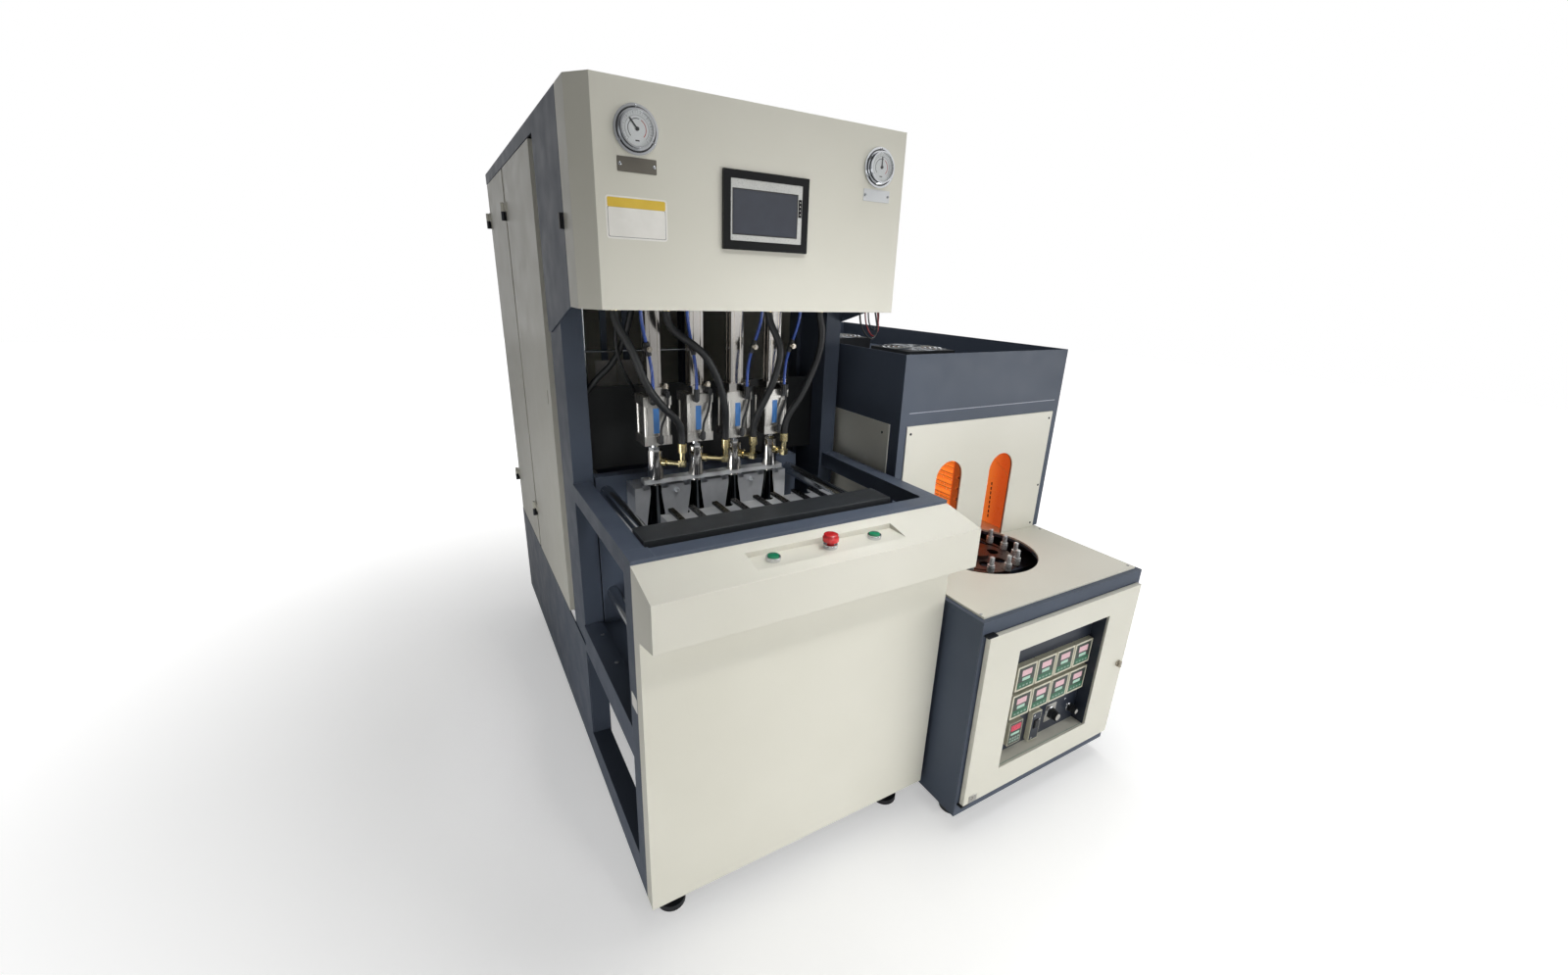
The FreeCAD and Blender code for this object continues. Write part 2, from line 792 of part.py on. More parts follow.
def control_box():
    """Sloping control box across the front, with a shallow recess for the three buttons."""
    body = new_body()
    shape = (
        ("0", "boxTop"),
        ("-boxReach", "noseTop"),
        ("-boxReach", "noseLow"),
        ("-panelProud", "boxLow"),
        ("0", "boxLow"),
    )
    pad(body, outline(body, "YZ_Plane", shape), "width")
    inner = (
        ("0", "boxTop - boxWall - recessDeep"),
        ("-boxReach + boxWall", "noseTop - boxWall - recessDeep"),
        ("-boxReach + boxWall", "noseLow + boxWall / 2"),
        ("-panelProud", "boxLow + boxWall"),
        ("0", "boxLow + boxWall"),
    )
    pocket(body, outline(body, "YZ_Plane", inner, "boxWall"), "width - 2 * boxWall", back=True)
    recess = (
        ("-recessBack", FLOOR_Z),
        ("-recessBack", "boxTop"),
        ("-recessBack - recessWide", "boxTop"),
        ("-recessBack - recessWide", FLOOR_Z),
    )
    pocket(body, outline(body, "YZ_Plane", recess, "recessLeft"), "recessLong", back=True)
    holes = []
    for x in ("buttonLeft", "buttonStop", "buttonRight"):
        holes.append(bar(x, "-buttonBack", FLOOR_Z + " - neckDeep", "neckOuter + runGap",
                         "neckDeep"))
    piece("control_box", cut(body, *holes))


FLOOR_Z = "(boxTop - (recessBack + recessWide) * (boxTop - noseTop) / boxReach)"


def buttons():
    """Two green push buttons and a mushroom stop button, each in its collar."""
    collars = []
    well_low = "%s + collarHigh - buttonTravel - endGap" % FLOOR_Z
    top = FLOOR_Z + " + collarHigh"
    for x in ("buttonLeft", "buttonStop", "buttonRight"):
        ring = fused(bar(x, "-buttonBack", FLOOR_Z, "collarOuter", "collarHigh"),
                     bar(x, "-buttonBack", FLOOR_Z + " - neckDeep", "neckOuter", "neckDeep"))
        well = fused(bar(x, "-buttonBack", well_low, "collarInner", "buttonTravel + endGap"),
                     bar(x, "-buttonBack", FLOOR_Z + " - neckDeep / 2", "stopStem + runGap",
                         "collarHigh + neckDeep / 2"))
        collars.append(cut(ring, well))
    piece("button_collars", group(*collars))
    for name, x in (("green_button_left", "buttonLeft"), ("green_button_right", "buttonRight")):
        head = bar(x, "-buttonBack", top, "buttonOuter", "buttonHigh - buttonTravel")
        stem = bar(x, "-buttonBack", well_low, "stopStem", "buttonTravel + endGap")
        piece(name, fused(head, stem))
    head = fused(bar("buttonStop", "-buttonBack", top + " + stopLift", "stopOuter",
                     "stopHigh * 0.6"),
                 taper("buttonStop", "-buttonBack", top + " + stopLift + stopHigh * 0.6",
                       "stopOuter", "stopOuter * 0.75", "stopHigh * 0.4"))
    stem = bar("buttonStop", "-buttonBack", well_low, "stopStem",
               "buttonTravel + endGap + stopLift")
    piece("stop_button", fused(head, stem))


def front_panel():
    """The beige lower front, a tray whose sides fold back to the frame."""
    outer = block("0", "-panelProud", "0", "width", "panelProud", "boxLow")
    inner = block("skin", "-panelProud + skin", "skin", "width - 2 * skin",
                  "panelProud - skin", "boxLow - 2 * skin")
    piece("front_panel", cut(outer, inner))


# ---------------------------------------------------------------- clamping unit and mould
def tie_places():
    for side in (-1, 1):
        for z in ("platenTop - tieInset", "platenLow + tieInset"):
            yield "clampCentre + %d * tieSpread" % side, z


PLATEN_REAR = "(platenFront + platenThick)"
CLAMP_Z = "((platenTop + platenLow) / 2)"
FIXED_REAR = "(fixedFront + fixedThick)"
MOULD_LEFT = "(clampCentre - mouldWide / 2)"
OPEN_FACE = "(mouldFace - mouldOpen)"


def clamping_unit():
    """Front platen and crosshead on four tie bars, pulled shut by one air cylinder."""
    plate = block("clampCentre - platenWide / 2", "platenFront", "platenLow", "platenWide",
                  "platenThick", "platenTop - platenLow")
    holes = []
    bars = []
    guides = []
    ends = []
    for x, z in tie_places():
        holes.append(bar(x, "platenFront + platenThick / 3", z, "tieSpigot + runGap",
                         "platenThick * 2 / 3", "y"))
        bars.append(fused(
            bar(x, "platenFront + platenThick / 3", z, "tieSpigot",
                "crossFront + crossThick - platenFront - platenThick / 3", "y"),
            bar(x, PLATEN_REAR, z, "tieBar", "crossFront - " + PLATEN_REAR, "y")))
        guides.append(bar(x, "fixedFront", z, "tieBar + runGap", "fixedThick", "y"))
        ends.append(bar(x, "crossFront", z, "tieSpigot + runGap", "crossThick", "y"))
    piece("front_platen", cut(plate, *holes))
    piece("tie_bars", group(*bars))
    fixed = block("clampCentre - fixedWide / 2", "fixedFront", "bedTop", "fixedWide",
                  "fixedThick", "platenTop - bedTop")
    piece("fixed_platen", cut(fixed, *guides))
    cross = block("clampCentre - fixedWide / 2", "crossFront", "platenLow", "fixedWide",
                  "crossThick", "platenTop - platenLow")
    start = FIXED_REAR + " + capThick + pistonInset"
    rod = fused(bar("clampCentre", start, CLAMP_Z, "clampRod", "crossFront - (%s)" % start, "y"),
                bar("clampCentre", start, CLAMP_Z, "cylinderBore - runGap", "pistonThick", "y"))
    piece("crosshead", cut(fused(cross, rod), *ends))
    body = fused(
        block("clampCentre - capSide / 2", FIXED_REAR, CLAMP_Z + " - capSide / 2", "capSide",
              "capThick", "capSide"),
        bar("clampCentre", FIXED_REAR + " + capThick", CLAMP_Z, "cylinderOuter", BARREL, "y"),
        block("clampCentre - capSide / 2", FIXED_REAR + " + capThick + " + BARREL,
              CLAMP_Z + " - capSide / 2", "capSide", "capThick", "capSide"))
    inside = bar("clampCentre", FIXED_REAR + " + capThick", CLAMP_Z, "cylinderBore", BARREL, "y")
    neck = bar("clampCentre", FIXED_REAR + " + capThick", CLAMP_Z, "clampRod + runGap",
               BARREL + " + capThick", "y")
    piece("clamp_cylinder", cut(body, inside, neck))


BARREL = "(mouldOpen + pistonThick + 2 * pistonInset)"


def bottle(i, y):
    """Hollow of one bottle: neck, long tapered shoulder, body."""
    neck = bar(row(i), y, "mouldTop - neckLong", "neckBore", "neckLong")
    cone = taper(row(i), y, "mouldTop - neckLong - shoulderLong", "bottleBore", "neckBore",
                 "shoulderLong")
    bottom = "mouldTop - neckLong - shoulderLong - bottleLong"
    return neck, cone, bar(row(i), y, bottom, "bottleBore", "bottleLong")


def moulds():
    """Both mould halves: bottle hollows, guide pins, and bars that enter slots when it shuts."""
    high = "mouldTop - mouldLow"
    front_deep = "%s - %s" % (OPEN_FACE, PLATEN_REAR)
    rear = block(MOULD_LEFT, "mouldFace", "mouldLow", "mouldWide", "fixedFront - mouldFace", high)
    front = block(MOULD_LEFT, PLATEN_REAR, "mouldLow", "mouldWide", front_deep, high)
    strips = []
    slots = []
    for i in range(4):
        for side in (-1, 1):
            middle = "%s + %d * barOffset" % (row(i), side)
            strips.append(block(middle + " - barWide / 2", PLATEN_REAR,
                                "mouldTop - barHigh / 2", "barWide", front_deep + " + barOver",
                                "barHigh"))
            slots.append(block(middle + " - barWide / 2 - barSlotGap", "mouldFace",
                               "mouldTop - barHigh / 2 - barSlotGap", "barWide + 2 * barSlotGap",
                               "barOver + barSlotGap", "barHigh / 2 + barSlotGap"))
    pins = []
    sockets = []
    pin_z = "mouldTop - guidePinDrop"
    for side in (-1, 1):
        x = "clampCentre + %d * rowPitch" % side
        tip = taper("0", "0", "0", "guidePin", "guidePin / 2", "guidePinLong / 2")
        tip.Placement = FreeCAD.Placement(Vector(), Rotation(Vector(1, 0, 0), 90))
        pins.append(put(tip, x, "mouldFace - guidePinLong / 2", pin_z))
        pins.append(bar(x, "mouldFace - guidePinLong / 2", pin_z, "guidePin",
                        "guidePinLong / 2", "y"))
        sockets.append(bar(x, OPEN_FACE + " - guidePinLong - pinGap", pin_z,
                           "guidePin + pinGap", "guidePinLong + pinGap", "y"))
    hollows = {"mouldFace": [], OPEN_FACE: []}
    for i in range(4):
        for y, tools in hollows.items():
            tools.extend(bottle(i, y))
    piece("mould_rear", cut(fused(rear, *pins), *hollows["mouldFace"], *slots))
    piece("mould_front", cut(fused(front, *strips), *hollows[OPEN_FACE], *sockets))


# ---------------------------------------------------------------- blowing stations
GUIDE_LOW = "(mouldTop + guideLift)"
NOZZLE_LOW = "(mouldTop + guideLift + guideThick)"
NOZZLE_TOP = "(mouldTop + guideLift + guideThick + nozzleLong)"
SEAL_LOW = "(mouldTop + guideLift + guideThick + nozzleLong + nutHigh + sealGap)"
SEAL_TOP = "(%s + sealLong)" % SEAL_LOW
STRETCH_TOP = "(%s + stretchLong)" % SEAL_TOP
ELBOW_Z = "(%s - elbowDrop)" % NOZZLE_TOP


ELBOWS = (("turnFirst", "reachFirst"), ("turnSecond", "reachSecond"),
          ("turnThird", "reachThird"), ("turnFourth", "reachFourth"))


def blowing_stations():
    """Four stations in a row: sealing nozzle, its cylinder, and the stretching rod's cylinder."""
    nozzles, rods, seals, stretches, pushers, elbows, holes = [], [], [], [], [], [], []
    y = "mouldFace"
    for i in range(4):
        x = row(i)
        nozzle = fused(bar(x, y, NOZZLE_LOW, "nozzleOuter", "nozzleLong"),
                       bar(x, y, GUIDE_LOW + " - spigotDrop", "spigotOuter",
                           "guideThick + spigotDrop"))
        nozzles.append(cut(nozzle, bar(x, y, GUIDE_LOW + " - spigotDrop", "nozzleBore",
                                       "spigotDrop + guideThick + nozzleLong")))
        holes.append(bar(x, y, GUIDE_LOW, "spigotOuter + runGap", "guideThick"))
        piston = SEAL_TOP + " - sealCap - pistonInset - sealPiston"
        rod = fused(bar(x, y, NOZZLE_TOP, "rodOuter",
                        "nutHigh + sealGap + sealLong - sealCap - pistonInset"),
                    hexagon(x, y, NOZZLE_TOP, "nutAcross", "nutHigh"),
                    bar(x, y, piston, "sealBore - runGap", "sealPiston"))
        rods.append(cut(rod, bar(x, y, NOZZLE_TOP, "nozzleBore",
                                 "nutHigh + sealGap + sealLong - sealCap - pistonInset")))
        body = fused(
            block(x + " - sealSide / 2", y + " - sealSide / 2", SEAL_LOW, "sealSide", "sealSide",
                  "sealCap"),
            block(x + " - sealBody / 2", y + " - sealBody / 2", SEAL_LOW + " + sealCap",
                  "sealBody", "sealBody", "sealLong - 2 * sealCap"),
            block(x + " - sealSide / 2", y + " - sealSide / 2", SEAL_TOP + " - sealCap",
                  "sealSide", "sealSide", "sealCap"))
        seals.append(cut(body,
                         bar(x, y, SEAL_LOW, "rodOuter + runGap", "sealCap"),
                         bar(x, y, SEAL_LOW + " + sealCap", "sealBore", "sealLong - 2 * sealCap"),
                         bar(x, y, SEAL_TOP + " - sealCap", "nozzleBore", "sealCap")))
        long = "stretchLong - 2 * stretchCap"
        half = "stretchSide / 2"
        tube = fused(
            block(x + " - stretchEnd / 2", y + " - stretchEnd / 2", SEAL_TOP, "stretchEnd",
                  "stretchEnd", "stretchCap"),
            block("%s - %s" % (x, half), "%s - %s" % (y, half), SEAL_TOP + " + stretchCap",
                  "stretchSide", "stretchSide", long),
            block(x + " - stretchEnd / 2", y + " - stretchEnd / 2",
                  STRETCH_TOP + " - stretchCap", "stretchEnd", "stretchEnd", "stretchCap"))
        grooves = []
        for side in (-1, 1):
            place = "%d * grooveOut - grooveWide / 2" % side
            for across in ("-" + half, half + " - grooveDeep"):
                grooves.append(block("%s + %s" % (x, place), "%s + %s" % (y, across),
                                     SEAL_TOP + " + stretchCap", "grooveWide", "grooveDeep",
                                     long))
                grooves.append(block("%s + %s" % (x, across), "%s + %s" % (y, place),
                                     SEAL_TOP + " + stretchCap", "grooveDeep", "grooveWide",
                                     long))
        stretches.append(cut(
            tube,
            bar(x, y, SEAL_TOP, "stretchRod + runGap", "stretchCap"),
            bar(x, y, SEAL_TOP + " + stretchCap", "stretchBore", long),
            *grooves))
        top = STRETCH_TOP + " - stretchCap - pistonInset"
        pushers.append(fused(
            bar(x, y, NOZZLE_LOW, "stretchRod", "%s - %s" % (top, NOZZLE_LOW)),
            bar(x, y, top + " - pistonThick", "stretchBore - runGap", "pistonThick")))
        turn, reach = ELBOWS[i]
        corner = reach + " - elbowBlock"
        elbow = cut(fused(
            bar("0", "0", ELBOW_Z, "elbowOuter", corner, "x"),
            bar("nozzleOuter", "0", ELBOW_Z, "elbowNut", "elbowNutLong / 2", "x"),
            block(corner, "-elbowBlock", ELBOW_Z + " - elbowBlock", "2 * elbowBlock",
                  "2 * elbowBlock", "2 * elbowBlock"),
            bar(reach, "0", ELBOW_Z + " + elbowBlock", "elbowOuter", "elbowRise - elbowBlock"),
            bar(reach, "0", ELBOW_Z + " + elbowRise", "elbowNut", "elbowNutLong")),
            bar("0", "0", NOZZLE_LOW, "nozzleOuter", "nozzleLong"))
        elbow.Placement = FreeCAD.Placement(Vector(), Rotation(Vector(0, 0, 1), 1))
        elbow.setExpression("Placement.Rotation.Angle", bound("-" + turn))
        elbows.append(put(elbow, x, y, "0"))
    piece("blow_nozzles", group(*nozzles))
    piece("sealing_rods", group(*rods))
    piece("sealing_cylinders", group(*seals))
    piece("stretch_cylinders", group(*stretches))
    piece("stretch_rods", group(*pushers))
    piece("brass_elbows", group(*elbows))
    guide = block(row(0) + " - guideOver", y + " - guideWide / 2", GUIDE_LOW,
                  "3 * rowPitch + 2 * guideOver", "guideWide", "guideThick")
    piece("nozzle_guide", cut(guide, *holes))


def fitting_place(i):
    """Place across of station i's upper fitting, on its cylinder's outer side."""
    return "(%s %s fittingShift)" % (row(i), "-" if i < 2 else "+")


def port_fittings():
    """Black push-in fittings on the front of each sealing cylinder's two end caps."""
    fittings = []
    front = "mouldFace - sealSide / 2"
    for i in range(4):
        low = bar("%s + fittingLow" % row(i), front + " - fittingLong / 2",
                  SEAL_LOW + " + sealCap / 2", "fittingOuter", "fittingLong / 2", "y")
        high = fused(
            bar(fitting_place(i), front + " - fittingLong / 2", SEAL_TOP + " - sealCap / 2",
                "fittingOuter", "fittingLong / 2", "y"),
            bar(fitting_place(i), front + " - fittingLong / 2", SEAL_TOP + " - sealCap / 2",
                "fittingOuter", "fittingLong"))
        fittings.extend((low, high))
    piece("port_fittings", group(*fittings))


def back_plate():
    """Dark sheet behind the mould, between the cabinet's posts."""
    sheet_metal = block("skin + tube", "backPlateY", "platenTop + panelGap",
                        "width - 2 * (skin + tube)", "skin",
                        "backPlateTop - platenTop - panelGap")
    piece("back_plate", group(sheet_metal))


# ---------------------------------------------------------------- air lines
def smooth_tube(name, points, radius):
    """A round cord along straight runs joined by arcs as large as the two runs allow."""
    edges = []
    here = points[0]
    radii = []
    for before, corner, after in zip(points, points[1:], points[2:]):
        into = (corner - before).normalize()
        out = (after - corner).normalize()
        turn = into.getAngle(out)
        reach = 0.45 * min((corner - before).Length, (after - corner).Length)
        radii.append(reach / math.tan(turn / 2))
        start = corner - into * reach
        end = corner + out * reach
        middle_way = (end - start) / 2
        sag = radii[-1] * (1 / math.cos(turn / 2) - 1)
        inward = (start + middle_way - corner).normalize()
        edges.append(Part.LineSegment(here, start).toShape())
        edges.append(Part.Arc(start, corner + inward * sag, end).toShape())
        here = end
    edges.append(Part.LineSegment(here, points[-1]).toShape())
    path = Part.Wire(edges)
    first = (points[1] - points[0]).normalize()
    circle = Part.Wire([Part.Circle(points[0], first, radius).toShape()])
    solid = path.makePipeShell([circle], True, False)
    feature = doc.addObject("Part::Feature", name)
    feature.Shape = solid
    share = solid.Volume / (math.pi * radius ** 2 * path.Length)
    print(name, "length %.0f mm" % path.Length, "volume share %.4f" % share,
          "radii", [round(value) for value in radii])
    return piece(name, feature)


HOSE_ROUTES = (
    ((246, 372, 965), (246, 372, 989), (236, 362, 1023), (187, 336, 1067), (145, 330, 1124),
     (125, 335, 1193), (96, 346, 1247), (88, 352, 1278), (88, 352, 1300)),
    ((365, 372, 965), (365, 372, 997), (353, 346, 1052), (330, 332, 1121), (301, 330, 1175),
     (272, 332, 1205), (221, 347, 1239), (206, 352, 1271), (206, 352, 1300)),
    ((445, 372, 965), (445, 372, 991), (454, 357, 1036), (464, 346, 1064), (485, 335, 1118),
     (501, 332, 1183), (494, 338, 1217), (470, 352, 1269), (470, 352, 1300)),
    ((540.5, 372, 965), (540.5, 372, 987), (550, 368, 1018), (585, 360, 1068), (630, 355, 1168),
     (636, 352, 1234), (622, 352, 1276), (622, 352, 1300)),
)
BLUE_ROUTE = ((0, 0, 0), (0, 0, 0.22), (9, 4, 0.45), (22, 14, 0.68), (29, 20, 0.86), (29, 20, 1))


def air_lines():
    """Four black blowing hoses and four blue control tubes, all up to the manifold."""
    for i, route in enumerate(HOSE_ROUTES):
        smooth_tube("air_hose_%d" % (i + 1), [Vector(*spot) for spot in route],
                    VALUES["hoseOuter"])
    top = number("headBottom")
    start = number(SEAL_TOP + " - sealCap / 2 + fittingLong")
    y = number("mouldFace - sealSide / 2 - fittingLong / 2")
    for i in range(4):
        x = number(fitting_place(i))
        way = -1 if i < 2 else 1
        points = []
        for across, lean, up in BLUE_ROUTE:
            points.append(Vector(x + way * across, y - lean, start + (top - start) * up))
        smooth_tube("blue_tube_%d" % (i + 1), points, VALUES["tubeOuter"])


# ---------------------------------------------------------------- feet
def levelling_feet():
    feet = []

    def foot(x, y, top):
        feet.append(fused(bar(x, y, "-floorGap", "footOuter", "footThick"),
                          bar(x, y, "-floorGap + footThick", "stemOuter",
                              "floorGap - footThick + %s" % top)))

    for x in ("footInset", "width - footInset"):
        for y in ("footBack", "depth - skin - footBack"):
            foot(x, y, "0")
    for x in ("footInset", "heaterWide - footInset"):
        for y in ("-heaterReach + footInset", "heaterBack - footInset"):
            foot("%s + %s" % (HEATER, x), y, "(-heaterDrop)")
    piece("levelling_feet", group(*feet))


# ---------------------------------------------------------------- preheating unit: casing
BOX_TOP = "(heaterTable - tablePlate)"
CHAIN_TOP = "(heaterTable - chainDrop)"
HEATER_LONG = "(heaterBack + heaterReach)"
LINK_PITCH = "(2 * chainRadius * sin(180 / sprocketTeeth))"
CHAIN_BACK = "(chainFront + laneLinks * %s)" % LINK_PITCH


def lanes():
    return ("chainX - chainRadius", "chainX + chainRadius")


def chain_slot(z, high):
    """Opening for the chain: a round hole at each end and a straight slot along each lane."""
    tools = [bar("chainX", "chainFront", z, "holeRadius", high),
             bar("chainX", CHAIN_BACK, z, "chainRadius + slotHalf", high)]
    for side in (-1, 1):
        tools.append(block("chainX + %d * chainRadius - slotHalf" % side, "chainFront", z,
                           "2 * slotHalf", CHAIN_BACK + " - chainFront", high))
    return tools


def heater_base():
    """The slate cabinet under the table: folded tub, front frame, top with the chain's way
    through, and inside it the two shaft beams and the chain's rails on their posts."""
    low = "-heaterDrop"
    high = "(%s + heaterDrop - rimThick)" % BOX_TOP
    tub = cut(block(HEATER, "-heaterReach + skin", low, "heaterWide", HEATER_LONG + " - skin",
                    high),
              block(HEATER + " + skin", "-heaterReach + skin", low + " + skin",
                    "heaterWide - 2 * skin", HEATER_LONG + " - 2 * skin", high + " - skin"))
    face = cut(block(HEATER, "-heaterReach", low, "heaterWide", "skin", high),
               block(HEATER + " + leafLeft + tube / 2", "-heaterReach",
                     "leafLow - heaterDrop + tube / 2", "heaterWide - 2 * leafLeft - tube",
                     "skin", "heaterTable - leafTop - leafLow + heaterDrop - tube"))
    rim = cut(block(HEATER, "-heaterReach", BOX_TOP + " - rimThick", "heaterWide", HEATER_LONG,
                    "rimThick"),
              *chain_slot(BOX_TOP + " - rimThick", "rimThick"))
    parts = [tub, face, rim]
    beam_top = "(heaterTable - beamDrop + beamHigh)"
    rail_low = "(%s - 3 * linkPlate - railThick)" % CHAIN_TOP
    for x in lanes():
        left = x + " - chainWide / 2"
        parts.append(block(left, "chainFront", rail_low, "chainWide",
                           CHAIN_BACK + " - chainFront", "railThick"))
        for y in ("chainFront", CHAIN_BACK + " - chainWide"):
            parts.append(block(left, y, beam_top, "chainWide", "chainWide",
                               "%s - %s" % (rail_low, beam_top)))
    for y in ("skin", "heaterBack - standFoot"):
        parts.append(block("width", y, "skirtTop / 2", "standGap", "standFoot", "standFoot"))
    for y in ("chainFront", CHAIN_BACK):
        beam = block(HEATER + " + skin", y + " - beamWide / 2", "heaterTable - beamDrop",
                     "heaterWide - 2 * skin", "beamWide", "beamHigh")
        parts.append(cut(beam, bar("chainX", y, "heaterTable - beamDrop",
                                   "shaftOuter + runGap", "beamHigh")))
    piece("heater_base", group(*parts))


def heater_table():
    """Beige table plate inside the slate rim, with the chain's round hole and slots."""
    plate = block(HEATER + " + tableInset", "-heaterReach + tableInset", BOX_TOP,
                  "heaterWide - 2 * tableInset", HEATER_LONG + " - 2 * tableInset", "tablePlate")
    piece("heater_table", cut(plate, *chain_slot(BOX_TOP, "tablePlate")))


def arch(x, y, deep):
    """Opening of one lane: straight sides under a half round."""
    spring = "archTop - archWide / 2"
    return (block(x + " - archWide / 2", y, "heaterTable", "archWide", deep,
                  spring + " - heaterTable"),
            bar(x, y, spring, "archWide / 2", deep, "y"))


TUNNEL_LONG = "(heaterBack - tunnelFront)"


def heat_tunnel():
    """The slate heating tunnel: four walls open at the top, with a sunk deck for the fan."""
    high = "tunnelTop - heaterTable"
    outer = block(HEATER, "tunnelFront", "heaterTable", "heaterWide", TUNNEL_LONG, high)
    inner = block(HEATER + " + skin", "tunnelFront + skin", "heaterTable",
                  "heaterWide - 2 * skin", TUNNEL_LONG + " - 2 * skin", high)
    gates = []
    for x in lanes():
        gates.extend(arch(x, "tunnelFront", "skin"))
    walls = cut(outer, inner, *gates)
    deck = block(HEATER + " + skin", "tunnelFront + skin", "tunnelDeck - skin",
                 "heaterWide - 2 * skin", TUNNEL_LONG + " - 2 * skin", "skin")
    vents = [bar(FAN_X, y, "tunnelDeck - skin", "fanBore", "skin") for y in FANS]
    piece("heat_tunnel", fused(walls, cut(deck, *vents)))


FAN_X = "(chainX + fanShift)"
FANS = ("fanNear", "fanFar")


def tunnel_panels():
    """Three beige panels screwed on the tunnel: the front one has both arches."""
    front = block(HEATER + " + facePanelInset", "tunnelFront - facePanelThick", "heaterTable",
                  "heaterWide - 2 * facePanelInset", "facePanelThick",
                  "facePanelTop - heaterTable")
    gates = []
    for x in lanes():
        gates.extend(arch(x, "tunnelFront - facePanelThick", "facePanelThick"))
    panels = [cut(front, *gates)]
    for x in (HEATER + " - facePanelThick", HEATER + " + heaterWide"):
        panels.append(block(x, "tunnelFront + sidePanelInset", "heaterTable + sidePanelInset / 2",
                            "facePanelThick", TUNNEL_LONG + " - 2 * sidePanelInset",
                            "facePanelTop - heaterTable - sidePanelInset / 2"))
    piece("tunnel_panels", group(*panels))


LINER_LEFT = "(chainX - chainRadius - linerSide)"
LINER_WIDE = "(2 * (chainRadius + linerSide))"
LINER_Y = "(tunnelFront + skin + linerFront)"
LINER_LONG = "(heaterBack - linerBack - %s)" % LINER_Y
LAMP_END = "(%s - chainRadius - lampInset)" % CHAIN_BACK


def tunnel_liner():
    """Orange reflector box over both lanes, with the drilled plates that hold the lamps."""
    high = "linerTop - heaterTable"
    outer = block(LINER_LEFT, LINER_Y, "heaterTable", LINER_WIDE, LINER_LONG, high)
    inner = block(LINER_LEFT + " + skin", LINER_Y, "heaterTable", LINER_WIDE + " - 2 * skin",
                  LINER_LONG + " - skin", high + " - skin")
    plates = []
    for y in (LINER_Y + " + lampInset", LAMP_END):
        plates.append(block("chainX - lampSpread - 4 * lampOuter", y, "heaterTable",
                            "2 * lampSpread + 8 * lampOuter", "lampPlate", high + " - skin"))
    holes = []
    for x, z in lamp_places():
        holes.append(bar(x, LINER_Y, z, "lampOuter + runGap", LINER_LONG + " - skin", "y"))
    piece("tunnel_liner", fused(cut(outer, inner), *[cut(plate, *holes) for plate in plates]))


def lamp_places():
    for side in (-1, 1):
        for i in range(8):
            yield "chainX + %d * lampSpread" % side, "lampLow + %d * lampPitch" % i


def quartz_lamps():
    lamps = []
    start = LINER_Y + " + lampInset - lampOuter"
    for x, z in lamp_places():
        lamps.append(bar(x, start, z, "lampOuter",
                         "%s + 2 * lampOuter - (%s)" % (LAMP_END, start), "y"))
    piece("quartz_lamps", group(*lamps))


# ---------------------------------------------------------------- preheating unit: chain drive
def chain_pins():
    """Places of the chain's pins, one pitch apart round both sprockets."""
    radius = VALUES["chainRadius"]
    centre_x = VALUES["chainX"]
    near = VALUES["chainFront"]
    pitch = number(LINK_PITCH)
    teeth = VALUES["sprocketTeeth"]
    lane = [near + k * pitch for k in range(VALUES["laneLinks"] + 1)]
    turn = [2 * math.pi * k / teeth for k in range(1, teeth // 2)]
    top = number(CHAIN_TOP)
    spots = [(centre_x + radius, y) for y in lane]
    spots += [(centre_x + radius * math.cos(a), lane[-1] + radius * math.sin(a)) for a in turn]
    spots += [(centre_x - radius, y) for y in reversed(lane)]
    spots += [(centre_x - radius * math.cos(a), near - radius * math.sin(a)) for a in turn]
    return [Vector(x, y, top) for x, y in spots]


def link_plate(start, end, drop):
    """Waisted plate of one link, with an eye round each pin, drop below the chain's top."""
    thick = VALUES["linkPlate"]
    along = (end - start).normalize()
    lower = Vector(0, 0, -drop - thick)
    waist = Part.makeBox((end - start).Length, 2 * VALUES["linkWaist"], thick)
    waist.translate(Vector(0, -VALUES["linkWaist"], 0))
    waist.rotate(Vector(), Vector(0, 0, 1), math.degrees(math.atan2(along.y, along.x)))
    eyes = [Part.makeCylinder(VALUES["linkEye"], thick, spot + lower) for spot in (start, end)]
    return waist.translated(start + lower).multiFuse(eyes).removeSplitter()


def chuck(spot):
    """Upright chuck: a grooved foot, then the slimmer stem that holds a preform's neck."""
    foot = VALUES["chuckFoot"]
    neck = VALUES["chuckCollar"]
    stem = VALUES["chuckPin"]
    rim = VALUES["chuckFootHigh"]
    top = rim + VALUES["chuckPinHigh"]
    profile = ((0, 0), (foot, 0), (foot, 0.7 * rim), (neck, 0.75 * rim), (neck, 0.85 * rim),
               (foot, 0.9 * rim), (foot, rim), (stem, rim), (stem, top - stem / 3),
               (stem * 2 / 3, top), (0, top), (0, 0))
    edge = Part.makePolygon([spot + Vector(r, 0, z) for r, z in profile])
    return Part.Face(edge).revolve(spot, Vector(0, 0, 1), 360)


